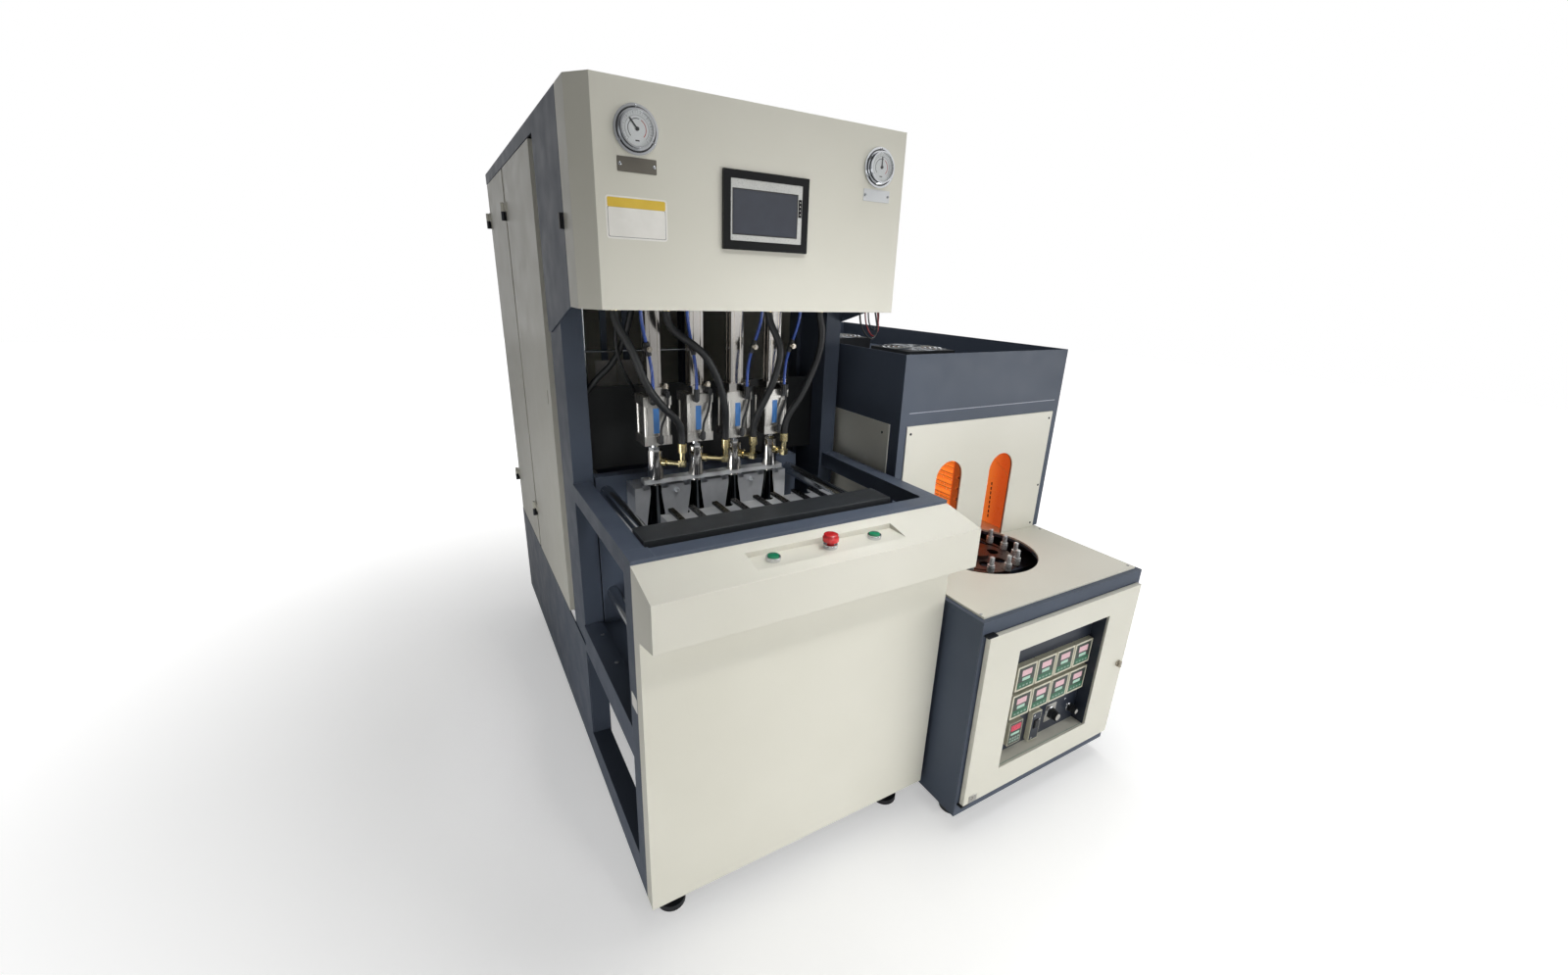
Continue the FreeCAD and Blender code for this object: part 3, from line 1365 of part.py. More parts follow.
def chuck_chain():
    """Endless chain: outer links with two plates, their pins and a chuck over each pin,
    and inner links, whose single plate turns on those pins between the outer plates."""
    pins = chain_pins()
    thick = VALUES["linkPlate"]
    pin = VALUES["pinOuter"]
    solids = []
    for i, start in enumerate(pins):
        end = pins[(i + 1) % len(pins)]
        if i % 2:
            plate = link_plate(start, end, thick)
            holes = [Part.makeCylinder(pin + VALUES["runGap"], thick,
                                       spot - Vector(0, 0, 2 * thick)) for spot in (start, end)]
            solids.append(plate.cut(holes))
        else:
            link = [link_plate(start, end, 2 * thick)]
            for spot in (start, end):
                link.append(Part.makeCylinder(pin, thick, spot - Vector(0, 0, 2 * thick)))
                link.append(chuck(spot))
            solids.append(link_plate(start, end, 0).multiFuse(link).removeSplitter())
    feature = doc.addObject("Part::Feature", "chuck_chain")
    feature.Shape = Part.makeCompound([shape.Solids[0] for shape in solids])
    piece("chuck_chain", feature)


def sprocket(name, y):
    """Drive wheel with round windows and a notch for each pin, fixed on its upright shaft."""
    body = new_body()
    rim = "chainRadius * cos(180 / sprocketTeeth) - linkWaist - sprocketGap"
    low = "%s - sprocketThick" % CHAIN_TOP
    pad(body, rounds(body, "XY_Plane", (("0", "0", rim),)), "sprocketThick")
    pad(body, rounds(body, "XY_Plane", (("0", "0", "sprocketHub"),), "sprocketThick"), "hubHigh")
    pad(body, rounds(body, "XY_Plane", (("0", "0", "shaftOuter"),)),
        "shaftLong - sprocketThick", back=True)
    for circles, count in ((("windowRing", "0", "windowRadius"), "sprocketTeeth / 2"),
                           ((rim + " + toothNotch / 2", "0", "toothNotch"), "sprocketTeeth")):
        hole = pocket(body, rounds(body, "XY_Plane", (circles,)), "sprocketThick", back=True)
        doc.recompute()
        pattern = body.newObject("PartDesign::PolarPattern", "pattern")
        pattern.Originals = [hole]
        pattern.Axis = (plane(body, "Z_Axis"), [""])
        pattern.Angle = 360
        bind(pattern, Occurrences=count)
        body.Tip = pattern
    piece(name, body, "chainX", y, low)


def drive_motor():
    """Gearbox under the front shaft beam, with its motor lying to the back."""
    top = "heaterTable - beamDrop"
    gear = block("chainX - gearSide / 2", "chainFront - gearSide / 2", top + " - gearHigh",
                 "gearSide", "gearSide", "gearHigh")
    motor = bar("chainX", "chainFront + gearSide / 2", top + " - gearHigh / 2 - stemOuter",
                "motorOuter", "motorLong", "y")
    hole = bar("chainX", "chainFront", top + " - gearHigh", "shaftOuter + runGap", "gearHigh")
    piece("drive_motor", cut(fused(gear, motor), hole))


def rotor(y):
    """Hub and seven pitched blades of one fan, with the bore for its pin."""
    low = "tunnelDeck + skin + spiderWide / 2"
    blades = []
    for i in range(7):
        blade = block("0", "0", "0", "fanBlade", "skin", "fanHigh / 3")
        blade.Placement = FreeCAD.Placement(
            Vector(), Rotation(Vector(0, 0, 1), 360 * i / 7) * Rotation(Vector(1, 0, 0), 55))
        reach = math.radians(360 * i / 7)
        put(blade, "%s + %.4f * fanHub" % (FAN_X, 0.96 * math.cos(reach)),
            "%s + %.4f * fanHub" % (y, 0.96 * math.sin(reach)), low + " + spiderWide / 2")
        blades.append(blade)
    return cut(fused(bar(FAN_X, y, low, "fanHub", "fanHigh / 2"), *blades),
               bar(FAN_X, y, low, "fanPin + runGap", "fanHigh / 2"))


def fans():
    """Two square axial fans side by side on the deck; the near one has a free impeller."""
    low = "tunnelDeck"
    frames = []
    for y in FANS:
        frame = block(FAN_X + " - fanSide / 2", y + " - fanSide / 2", low, "fanSide", "fanSide",
                      "fanHigh")
        arms = (block(FAN_X + " - fanBore - skin", y + " - spiderWide / 2", low,
                      "2 * fanBore + 2 * skin", "spiderWide", "skin"),
                block(FAN_X + " - spiderWide / 2", y + " - fanBore - skin", low, "spiderWide",
                      "2 * fanBore + 2 * skin", "skin"),
                bar(FAN_X, y, low, "fanPin", "fanHigh / 2"))
        frames.append(fused(cut(frame, bar(FAN_X, y, low, "fanBore", "fanHigh")), *arms))
    frames.append(rotor("fanFar"))
    piece("tunnel_fans", group(*frames))
    piece("fan_impeller", rotor("fanNear"))


# ---------------------------------------------------------------- preheating unit: door
LEAF_FRONT = "(-heaterReach - leafStand - leafProud)"
LEAF_LOW = "(leafLow - heaterDrop)"
TRAY_BACK = "(-heaterReach + trayDeep)"


def heater_door():
    """Beige front door with a window and, behind it, the dark tray of the instruments."""
    leaf = block(HEATER + " + leafLeft", LEAF_FRONT, LEAF_LOW, "heaterWide - 2 * leafLeft",
                 "leafProud", "heaterTable - leafTop - %s" % LEAF_LOW)
    window = block(HEATER + " + windowLeft", LEAF_FRONT, "windowLow - heaterDrop", "windowWide",
                   "leafProud + leafStand + trayDeep - skin", "windowHigh")
    tray = block(HEATER + " + windowLeft - skin", LEAF_FRONT + " + leafProud",
                 "windowLow - heaterDrop - skin", "windowWide + 2 * skin",
                 "leafStand + trayDeep", "windowHigh + 2 * skin")
    holes = []
    x = HEATER + " + leafLeft + pivotInset"
    y = LEAF_FRONT + " + pivotInset"
    for z in (LEAF_LOW, "heaterTable - leafTop - knobStem"):
        holes.append(bar(x, y, z, "hingePin + runGap", "knobStem"))
    holes.append(bar(LATCH_X, LEAF_FRONT, LATCH_Z, "knobStem + runGap", "leafProud", "y"))
    for spot, height in (("selectorX", "knobZ"), ("speedX", "speedZ")):
        holes.append(bar("%s + %s" % (HEATER, spot), TRAY_BACK + " - skin",
                         height + " - heaterDrop", "knobStem + runGap", "skin", "y"))
    piece("heater_door", cut(fused(leaf, tray), window, *holes))


LATCH_X = "(%s + heaterWide - leafLeft - latchX)" % HEATER
LATCH_Z = "((heaterTable - leafTop + leafLow - heaterDrop) / 2)"


def instruments():
    """Eight temperature controllers, a counter and a rocker plate on the tray's back."""
    face = TRAY_BACK + " - skin - controllerThick"
    units = []

    def unit(x, z, wide, high):
        case = block("%s + %s" % (HEATER, x), face, z + " - heaterDrop", wide, "controllerThick",
                     high)
        pane = block("%s + %s + panelGap * 2" % (HEATER, x), face,
                     z + " - heaterDrop + panelGap * 2", wide + " - panelGap * 4",
                     "screenSunk", high + " - panelGap * 4")
        units.append(cut(case, pane))

    for i in range(4):
        for k in range(2):
            unit("controllerX + %d * controllerPitchX" % i,
                 "controllerZ - %d * controllerPitchZ" % k, "controllerWide",
                 "controllerHigh")
    unit("counterX", "counterZ", "counterWide", "counterHigh")
    unit("rockerX", "rockerZ", "rockerWide", "rockerHigh")
    piece("instruments", group(*units))


def knobs():
    face = TRAY_BACK + " - skin - endGap - knobThick"
    for name, x, height, radius in (("selector_knob", "selectorX", "knobZ", "selectorOuter"),
                                    ("speed_knob", "speedX", "speedZ", "speedOuter")):
        centre = "%s + %s" % (HEATER, x)
        z = height + " - heaterDrop"
        disc = bar(centre, face + " + knobThick / 2", z, radius, "knobThick / 2", "y")
        ridge = block(centre + " - gripBar / 2", face, "%s - %s * 0.9" % (z, radius),
                      "gripBar", "knobThick / 2", "%s * 1.8" % radius)
        stem = bar(centre, face + " + knobThick", z, "knobStem", "endGap + skin", "y")
        piece(name, fused(disc, ridge, stem))
    disc = bar(LATCH_X, LEAF_FRONT + " - endGap - latchProud / 3", LATCH_Z, "latchOuter",
               "latchProud / 3", "y")
    ridge = block(LATCH_X + " - gripBar / 2", LEAF_FRONT + " - latchProud",
                  LATCH_Z + " - latchOuter * 0.9", "gripBar",
                  "latchProud * 2 / 3 - endGap", "latchOuter * 1.8")
    stem = bar(LATCH_X, LEAF_FRONT + " - endGap", LATCH_Z, "knobStem", "endGap + leafProud", "y")
    piece("door_latch", fused(disc, ridge, stem))


# ---------------------------------------------------------------- build, check and write
blower_frame()
blower_skirt()
upper_cowl()
doors()
cabinet_cover()
hood()
hinges_and_catches()
touch_panel()
pressure_gauges()
control_box()
buttons()
front_panel()
clamping_unit()
moulds()
blowing_stations()
port_fittings()
back_plate()
air_lines()
levelling_feet()
heater_base()
heater_table()
heat_tunnel()
tunnel_panels()
tunnel_liner()
quartz_lamps()
chuck_chain()
sprocket("sprocket_front", "chainFront")
sprocket("sprocket_back", CHAIN_BACK)
drive_motor()
fans()
heater_door()
instruments()
knobs()
doc.recompute()

for item in doc.Objects:
    if "Invalid" in item.State or "Error" in item.State:
        raise RuntimeError("%s (%s) did not build" % (item.Name, item.Label))
os.makedirs("parts", exist_ok=True)
for item in PIECES:
    if item.Shape.isNull() or not item.Shape.isValid():
        raise RuntimeError("%s has no valid shape" % item.Label)
for item in PIECES:
    item.Shape.exportStep("parts/%s.step" % item.Label)
print(len(PIECES), "pieces written")
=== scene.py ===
# %% [markdown]
# # A four-station blow moulding machine with its preheating unit
#
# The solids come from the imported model. They are the machine itself: frame, sheet metal,
# mould, cylinders, chain and doors. What this lesson adds is what the eye reads first:
# paint, metal and rubber, the printed dials, the lit displays, screws, tubes and wires.
# Every number is in the same frame as the model, so a piece goes where the real one is.

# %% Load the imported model
import math

import bpy
from mathutils import Matrix, Vector


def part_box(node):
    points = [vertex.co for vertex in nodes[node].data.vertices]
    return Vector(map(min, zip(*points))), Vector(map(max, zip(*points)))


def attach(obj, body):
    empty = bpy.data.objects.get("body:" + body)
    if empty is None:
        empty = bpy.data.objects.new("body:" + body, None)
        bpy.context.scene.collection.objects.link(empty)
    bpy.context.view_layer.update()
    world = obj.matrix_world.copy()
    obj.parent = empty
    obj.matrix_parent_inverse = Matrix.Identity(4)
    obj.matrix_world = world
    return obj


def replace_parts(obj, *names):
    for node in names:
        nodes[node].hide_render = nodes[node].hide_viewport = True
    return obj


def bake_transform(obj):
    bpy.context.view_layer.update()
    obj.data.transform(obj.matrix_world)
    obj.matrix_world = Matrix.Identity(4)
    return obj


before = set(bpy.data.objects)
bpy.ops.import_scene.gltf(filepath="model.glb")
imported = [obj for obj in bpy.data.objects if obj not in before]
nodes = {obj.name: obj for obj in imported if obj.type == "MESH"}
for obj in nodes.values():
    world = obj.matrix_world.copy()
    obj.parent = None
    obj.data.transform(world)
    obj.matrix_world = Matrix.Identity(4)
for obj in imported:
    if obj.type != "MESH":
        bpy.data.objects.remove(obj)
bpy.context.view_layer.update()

# %% [markdown]
# ## The camera
#
# The photograph was taken with a wide lens from the front left, a little above the hood's
# lower edge. Its place and tilt were worked out from the machine's straight edges, and the
# slight roll is kept, because it turns every vertical of the picture.

# %% Place the camera
def linked(name, data):
    """A new object in the scene."""
    made = bpy.data.objects.new(name, data)
    bpy.context.scene.collection.objects.link(made)
    return made


YAW, PITCH, ROLL = (math.radians(turn) for turn in (30.67, -18.81, 2.07))
EYE = Vector((-1.0107, -1.7698, 1.4430))
forward = Vector((math.sin(YAW) * math.cos(PITCH), math.cos(YAW) * math.cos(PITCH),
                  math.sin(PITCH)))
level = Vector((math.cos(YAW), -math.sin(YAW), 0))
over = level.cross(forward)
right = math.cos(ROLL) * level + math.sin(ROLL) * over
up = math.cos(ROLL) * over - math.sin(ROLL) * level
camera = linked("camera", bpy.data.cameras.new("camera"))
camera.data.lens = 13.795
camera.data.sensor_width = 36
camera.data.clip_start = 0.05
camera.data.clip_end = 60
camera.matrix_world = (Matrix.Translation(EYE)
                       @ Matrix((right, up, -forward)).transposed().to_4x4())
bpy.context.scene.camera = camera
print("camera height:", round(EYE.z, 3), "m")

# %% [markdown]
# ## Tools for shapes
#
# Most of the added parts are turned forms and flat plates. One maker turns a half profile
# about an axis and one lays a plate with rounded corners. Each gives corners and faces in
# place, so that the object itself stays at the origin, as the model's own pieces do.

# %% Make turned forms and plates
MM = 0.001
ACROSS, BEHIND, UP = (1, 0, 0), (0, 1, 0), (0, 0, 1)
AHEAD, DOWN = (0, -1, 0), (0, 0, -1)
FRONT, LEFT, TOP = (ACROSS, UP), (AHEAD, UP), (ACROSS, BEHIND)


def swing(pair, degrees):
    """The direction that lies degrees round from the first of two square directions."""
    turn = math.radians(degrees)
    return Vector(pair[0]) * math.cos(turn) + Vector(pair[1]) * math.sin(turn)


def square_to(along):
    """Two directions square to along, so that their cross product is along."""
    helper = Vector(UP) if abs(along.z) < 0.9 else Vector(ACROSS)
    across = helper.cross(along).normalized()
    return across, along.cross(across)


def ring_faces(rings, steps):
    """Faces round a stack of rings, closed at both ends."""
    faces = [(ring * steps + k, ring * steps + (k + 1) % steps,
              (ring + 1) * steps + (k + 1) % steps, (ring + 1) * steps + k)
             for ring in range(rings - 1) for k in range(steps)]
    return faces + [tuple(reversed(range(steps))),
                    tuple(range((rings - 1) * steps, rings * steps))]


def turned(profile, centre, along, steps=32):
    """A form turned about an axis: profile is (radius, height) in mm."""
    axis = Vector(along)
    pair = square_to(axis)
    corners = [Vector(centre) + MM * (axis * height + radius * swing(pair, 360 * k / steps))
               for radius, height in profile for k in range(steps)]
    return corners, ring_faces(len(profile), steps)


def plate(centre, facing, wide, high, thick, radius=0.0, edge=0.3, steps=6):
    """A flat plate in mm, its back on centre, with rounded corners and broken edges."""
    across, over = Vector(facing[0]), Vector(facing[1])
    corners = []
    for inset, height in ((0, 0), (0, thick - edge), (edge, thick)):
        bend = max(radius - inset, 0.05)
        for quarter, (sx, sy) in enumerate(((1, -1), (1, 1), (-1, 1), (-1, -1))):
            pivot = (across * sx * (wide / 2 - inset - bend)
                     + over * sy * (high / 2 - inset - bend) + across.cross(over) * height)
            corners += [Vector(centre) + MM * (
                pivot + bend * swing(facing, 90 * (quarter - 1 + k / steps)))
                for k in range(steps + 1)]
    return corners, ring_faces(3, 4 * (steps + 1))


def collect(forms):
    """Several forms as one."""
    corners = []
    faces = []
    for more, their in forms:
        faces.extend(tuple(k + len(corners) for k in face) for face in their)
        corners.extend(more)
    return corners, faces


print("corners of a plate:", len(plate((0, 0, 0), FRONT, 10, 10, 1)[0]))

# %% Make objects of them
def soften(mesh, smooth, sharpest):
    """Shades a mesh flat, or smooth but for edges sharper than an angle in degrees."""
    mesh.polygons.foreach_set("use_smooth", [smooth] * len(mesh.polygons))
    if smooth:
        mesh.set_sharp_from_angle(angle=math.radians(sharpest))


def riding(made, body):
    """Lets an object move with a body."""
    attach(made, body)
    return made


def shape(name, form, finish, body, smooth=False):
    """An object from a form, painted and riding on a body."""
    corners, faces = form
    mesh = bpy.data.meshes.new(name)
    mesh.from_pydata([tuple(c) for c in corners], [], faces)
    mesh.materials.append(finishes[finish])
    soften(mesh, smooth, 38)
    return riding(linked(name, mesh), body)


def plates(body, rows):
    """Objects from rows of name, finish and what plate() takes."""
    for name, finish, *measures in rows:
        shape(name, plate(*measures), finish, body)


def middle(node):
    """The middle of a solid's box."""
    low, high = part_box(node)
    return (low + high) / 2


finishes = {}
print("middle of the hood:", [round(v, 3) for v in middle("hood")])

# %% [markdown]
# ## Tools for finishes
#
# A real surface is never one flat colour. Each finish starts from its common name and how it
# was made, takes its colour as a hex value, and gets its fine structure from noise measured
# in millimetres. Patterns read Object coordinates, which are metres here, so a noise scale of
# 1000 / size gives marks of that size in millimetres.

# %% Read colours and wire up nodes
def linear(code):
    """A #rrggbb value as linear red, green, blue and alpha."""
    parts = [int(code[k:k + 2], 16) / 255 for k in (1, 3, 5)]
    return (*[c / 12.92 if c <= 0.04045 else ((c + 0.055) / 1.055) ** 2.4 for c in parts], 1)


def source(value):
    """A node stands for its first output."""
    return value.outputs[0] if isinstance(value, bpy.types.Node) else value


def add(tree, kind, feed=None, **settings):
    """Adds a node with its settings; feed maps inputs to values or to what is linked."""
    node = tree.nodes.new(kind)
    for key, value in settings.items():
        setattr(node, key, value)
    for key, value in (feed or {}).items():
        value = source(value)
        if isinstance(value, bpy.types.NodeSocket):
            tree.links.new(value, node.inputs[key])
        else:
            node.inputs[key].default_value = value
    return node


def begin(name, code, **constants):
    """A finish whose Principled shader has its constants set on its own sockets."""
    material = bpy.data.materials.new(name)
    material.use_nodes = True
    tree = material.node_tree
    shader = tree.nodes["Principled BSDF"]
    shader.inputs["Base Color"].default_value = linear(code)
    material.diffuse_color = linear(code)
    for key, value in constants.items():
        shader.inputs[key.replace("_", " ")].default_value = value
    finishes[name] = material
    return tree, shader, add(tree, "ShaderNodeTexCoord").outputs["Object"]


def drive(tree, shader, **feed):
    """Links what is given to the shader's sockets, an underscore standing for a space."""
    for key, value in feed.items():
        tree.links.new(source(value), shader.inputs[key.replace("_", " ")])


print("hex to linear check:", [round(c, 3) for c in linear("#808080")][:3])


# %% Draw noise, set ranges and blend colours
def grain(tree, place, size, stretch=(1, 1, 1), detail=3.0):
    """Noise whose marks are size millimetres, drawn out along one axis by stretch."""
    mapped = add(tree, "ShaderNodeMapping", {"Vector": place, "Scale": stretch})
    return add(tree, "ShaderNodeTexNoise",
               {"Vector": mapped, "Scale": 1000 / size, "Detail": detail})


def between(tree, amount, low, high, start=0.3, stop=0.7):
    """Turns an amount into a value from low to high."""
    return add(tree, "ShaderNodeMapRange",
               {"Value": amount, "From Min": start, "From Max": stop, "To Min": low,
                "To Max": high})


# The Mix node has a set of sockets for each kind of data. These are its colour sockets.
COLOUR_A, COLOUR_B, COLOUR_OUT = 6, 7, 2


def blend_colours(tree, amount, first, second):
    """Colour first where the amount is 0 and second where it is 1."""
    first, second = (linear(c) if isinstance(c, str) else c for c in (first, second))
    return add(tree, "ShaderNodeMix", {0: amount, COLOUR_A: first, COLOUR_B: second},
               data_type="RGBA").outputs[COLOUR_OUT]


print("sockets for blended colours:", COLOUR_A, COLOUR_B, COLOUR_OUT)

# %% [markdown]
# ## Sheet metal paint
#
# Both paints are polyester powder, sprayed dry and baked. The powder melts into a skin with a
# faint orange-peel ripple and picks up a little dust in cloudy patches. Its edges are lighter,
# partly from wear where the skin thins at folds and partly as a painted highlight. The edge
# mask compares the true face with a rounded one: they differ only near an edge.

# %% Cream and slate powder coat
def powder_coat(name, code, worn, dusty, rough, peel, ripple, shine=0.5):
    """The edge colour is lighter, partly wear and partly painted highlight; dusty is the colour
    of the cloudy patches.
    """
    tree, shader, place = begin(name, code, IOR=1.5, Specular_IOR_Level=shine)
    cloud = between(tree, grain(tree, place, 420), 0.0, 1.0)
    shade = blend_colours(tree, cloud, code, dusty)
    rounded = add(tree, "ShaderNodeBevel", {"Radius": 0.0016}, samples=4)
    true = add(tree, "ShaderNodeNewGeometry").outputs["Normal"]
    alike = add(tree, "ShaderNodeVectorMath", {0: rounded, 1: true}, operation="DOT_PRODUCT")
    edge = between(tree, alike.outputs["Value"], 0.55, 0.0, 0.86, 0.985)
    bump = add(tree, "ShaderNodeBump",
               {"Height": grain(tree, place, peel, detail=1.5), "Distance": ripple,
                "Strength": 0.35, "Normal": rounded})
    # The lighter edge colour is partly wear and partly a painted highlight.
    drive(tree, shader, Base_Color=blend_colours(tree, edge, shade, worn),
          Roughness=between(tree, grain(tree, place, 60), rough - 0.04, rough + 0.05),
          Normal=bump)


powder_coat("cream_powder_coat", "#dbd9cd", "#efeee6", "#d4d2c5", 0.36, 3.5, 0.00022)
powder_coat("slate_powder_coat", "#515967", "#7a828e", "#48505d", 0.4, 3.0, 0.00030, 0.16)
powder_coat("black_satin_enamel", "#2b2e31", "#55595d", "#25282a", 0.38, 2.5, 0.00015)
# The near black one is painted shade for the back plate, deep in the machine's shaded inside.
powder_coat("back_plate_painted_shade", "#121517", "#2c3033", "#0f1213", 0.55, 2.5, 0.00015)
print("paints:", sorted(finishes))

# %% [markdown]
# ## Metals
#
# What tells one metal from another is the tool mark. A turned part has rings, a drawn or
# brushed bar has streaks along its length, and a milled mould face shows fine parallel
# passes. One maker draws them all: noise that is stretched along the direction of the cut.

# %% Machined, drawn and plated metals
def cut_metal(name, code, stained, rough, mark, stretch, depth, spread=0.08, bare=1.0):
    """Bare is 1 for clean metal and less where an oxide or zinc skin scatters the light."""
    tree, shader, place = begin(name, code, Metallic=bare)
    streaks = grain(tree, place, mark, stretch, detail=4.0)
    cloud = between(tree, grain(tree, place, 90), 0.0, 0.75)
    bump = add(tree, "ShaderNodeBump", {"Height": streaks, "Distance": depth, "Strength": 0.3})
    drive(tree, shader, Base_Color=blend_colours(tree, cloud, code, stained),
          Roughness=between(tree, streaks, rough - spread, rough + spread),
          Normal=bump)


ALONG_X, ALONG_Y, ALONG_Z = (0.03, 1, 1), (1, 0.03, 1), (1, 1, 0.03)
ROUND_Z, NO_WAY = (0.05, 0.05, 1), (1, 1, 1)
cut_metal("chrome_plated_steel", "#dcdee0", "#cfd2d6", 0.09, 3, ALONG_Z, 0.00001, 0.04)
cut_metal("ground_bar_steel", "#b9bcbf", "#a7abb0", 0.2, 2, ALONG_Y, 0.00003)
cut_metal("drawn_stainless", "#c9c6c0", "#b5b2ad", 0.24, 2, ALONG_Z, 0.00004)
cut_metal("polished_stainless", "#d3d0cc", "#c2beb9", 0.13, 1.5, ROUND_Z, 0.00002, 0.04)
cut_metal("milled_aluminium", "#d8dadd", "#a3a7ac", 0.42, 1.6, ALONG_X, 0.00005, bare=0.75)
cut_metal("etched_plate", "#77736a", "#68645c", 0.4, 1.6, ALONG_X, 0.00004, bare=0.6)
# Dark steel colour: painted shade and painted dark reflection for the mould's hollows.
cut_metal("cavity_painted_shade", "#45494d", "#383c3f", 0.14, 1.5, ROUND_Z, 0.00001, 0.04)
cut_metal("satin_zinc_plate", "#d0d2d3", "#bfc2c4", 0.4, 1.6, ALONG_X, 0.00004, bare=0.4)
cut_metal("anodised_aluminium", "#cfcdc8", "#bdbbb6", 0.31, 1.2, ALONG_Z, 0.00004)
cut_metal("turned_steel", "#a9abad", "#8f9295", 0.27, 1.5, ROUND_Z, 0.00004)
cut_metal("nickel_plated_brass", "#c3bdb2", "#aaa397", 0.2, 4, NO_WAY, 0.00002)
cut_metal("brass", "#dccfa3", "#c4b27e", 0.17, 2, NO_WAY, 0.00003)
cut_metal("blackened_steel", "#3a3c3f", "#2b2d30", 0.42, 2.5, NO_WAY, 0.00004)
cut_metal("oiled_brown_steel", "#6d5c56", "#4c403c", 0.38, 8, NO_WAY, 0.00006, 0.12)
print("finishes with the metals:", len(finishes))

# %% [markdown]
# ## Plastics, rubber, enamel and glass
#
# Moulded plastic has a fine spark-eroded texture from its mould, and printed film and vinyl
# are nearly smooth. Air hose is extruded over a braid, which shows as a very slight weave.
# The tunnel's reflector is orange stove enamel. It glows a little as painted light, and it is
# darker towards its front as painted shade.

# %% Moulded and extruded plastic
def moulded(name, code, shade, rough, mark, depth, **constants):
    """Plastic, rubber or film with marks of a size in mm; depth is their relief in metres."""
    tree, shader, place = begin(name, code, IOR=1.49, **constants)
    cloud = between(tree, grain(tree, place, 40), 0.0, 1.0)
    fine = grain(tree, place, mark, detail=2.0)
    bump = add(tree, "ShaderNodeBump", {"Height": fine, "Distance": depth, "Strength": 0.4})
    drive(tree, shader, Base_Color=blend_colours(tree, cloud, code, shade),
          Roughness=between(tree, fine, rough - 0.05, rough + 0.06),
          Normal=bump)
    return tree, shader, place


moulded("black_nylon", "#17181a", "#202225", 0.42, 1.2, 0.00005)
moulded("black_glossy_abs", "#0b0c0d", "#101214", 0.2, 2.0, 0.00002, Specular_IOR_Level=0.25)
moulded("air_hose_rubber", "#151618", "#1d1f20", 0.46, 1.6, 0.00012)
moulded("rubber_red_wire", "#8c2426", "#7b1f21", 0.4, 2.0, 0.00003)
moulded("blue_polyurethane", "#1a3f92", "#224ea8", 0.22, 3.0, 0.00002, Coat_Weight=0.3)
moulded("green_acrylic", "#0d8a5c", "#0b7a52", 0.2, 3.0, 0.00002, Coat_Weight=0.4)
moulded("red_acrylic", "#d22a2c", "#bd2022", 0.22, 3.0, 0.00002, Coat_Weight=0.4)
moulded("cream_abs", "#cfccb8", "#c4c1ac", 0.42, 1.4, 0.00004)
print("plastics:", len(finishes))

# %% Print, vinyl, cast paint and film
# Black print, also used as painted shade in the slots.
moulded("dial_print_black", "#17181a", "#1c1d1f", 0.5, 2.0, 0.00001)
moulded("dial_print_red", "#b5483c", "#a9433a", 0.5, 2.0, 0.00001)
moulded("dial_card", "#d9dcdc", "#cfd3d3", 0.35, 2.0, 0.00001)
moulded("label_blue", "#3a78bd", "#336cab", 0.4, 2.0, 0.00001)
moulded("label_white_vinyl", "#eceae4", "#e2e0d9", 0.38, 2.0, 0.00001)
moulded("label_yellow_vinyl", "#e2c04a", "#d8b640", 0.38, 2.0, 0.00001)
moulded("silver_film", "#c9cac6", "#bfc0bc", 0.3, 1.2, 0.00002, Metallic=0.35)
moulded("dark_screen_glass", "#232936", "#282f3d", 0.08, 3.0, 0.000005, Coat_Weight=0.6)
moulded("instrument_blue_grey", "#272d38", "#222833", 0.34, 1.5, 0.00003)
moulded("grey_casting_paint", "#5c6468", "#4f575b", 0.45, 2.5, 0.00020)
# A pale slate for a painted highlight along a fold.
moulded("worn_fold_edge", "#a4a9b5", "#989dab", 0.4, 2.0, 0.00002)
# A pale orange for a painted highlight on the reflector's crease.
moulded("reflector_crease_highlight", "#ffbd7c", "#ffb571", 0.35, 2.0, 0.00001)
print("with print and film:", len(finishes))

# %% Stove enamel, quartz and dial glass
# The glow and the run from dark at the front to bright further back are painted light and
# painted shade.
tree, shader, place = moulded("orange_stove_enamel", "#f27a22", "#f6923a", 0.3, 4.0, 0.0001,
                              Coat_Weight=0.25, Emission_Strength=0.4)
depth = add(tree, "ShaderNodeSeparateXYZ", {0: place}).outputs["Y"]
painted_light_gradient = blend_colours(tree, between(tree, depth, 0.0, 1.0, -0.48, -0.38), "#d0602a", "#ffab4e")
drive(tree, shader, Base_Color=painted_light_gradient, Emission_Color=painted_light_gradient)
# The glass's faint warm tint is a painted reflection of the orange reflector.
tree, shader, place = begin("quartz_glass", "#fff1e0", Roughness=0.15, IOR=1.46,
                            Transmission_Weight=0.9)
drive(tree, shader, Roughness=between(tree, grain(tree, place, 12), 0.1, 0.3))
tree, shader, place = begin("dial_glass", "#ffffff", Roughness=0.03, IOR=1.45,
                            Transmission_Weight=1.0)
drive(tree, shader, Roughness=between(tree, grain(tree, place, 30), 0.02, 0.06))
print("with enamel and glass:", len(finishes))
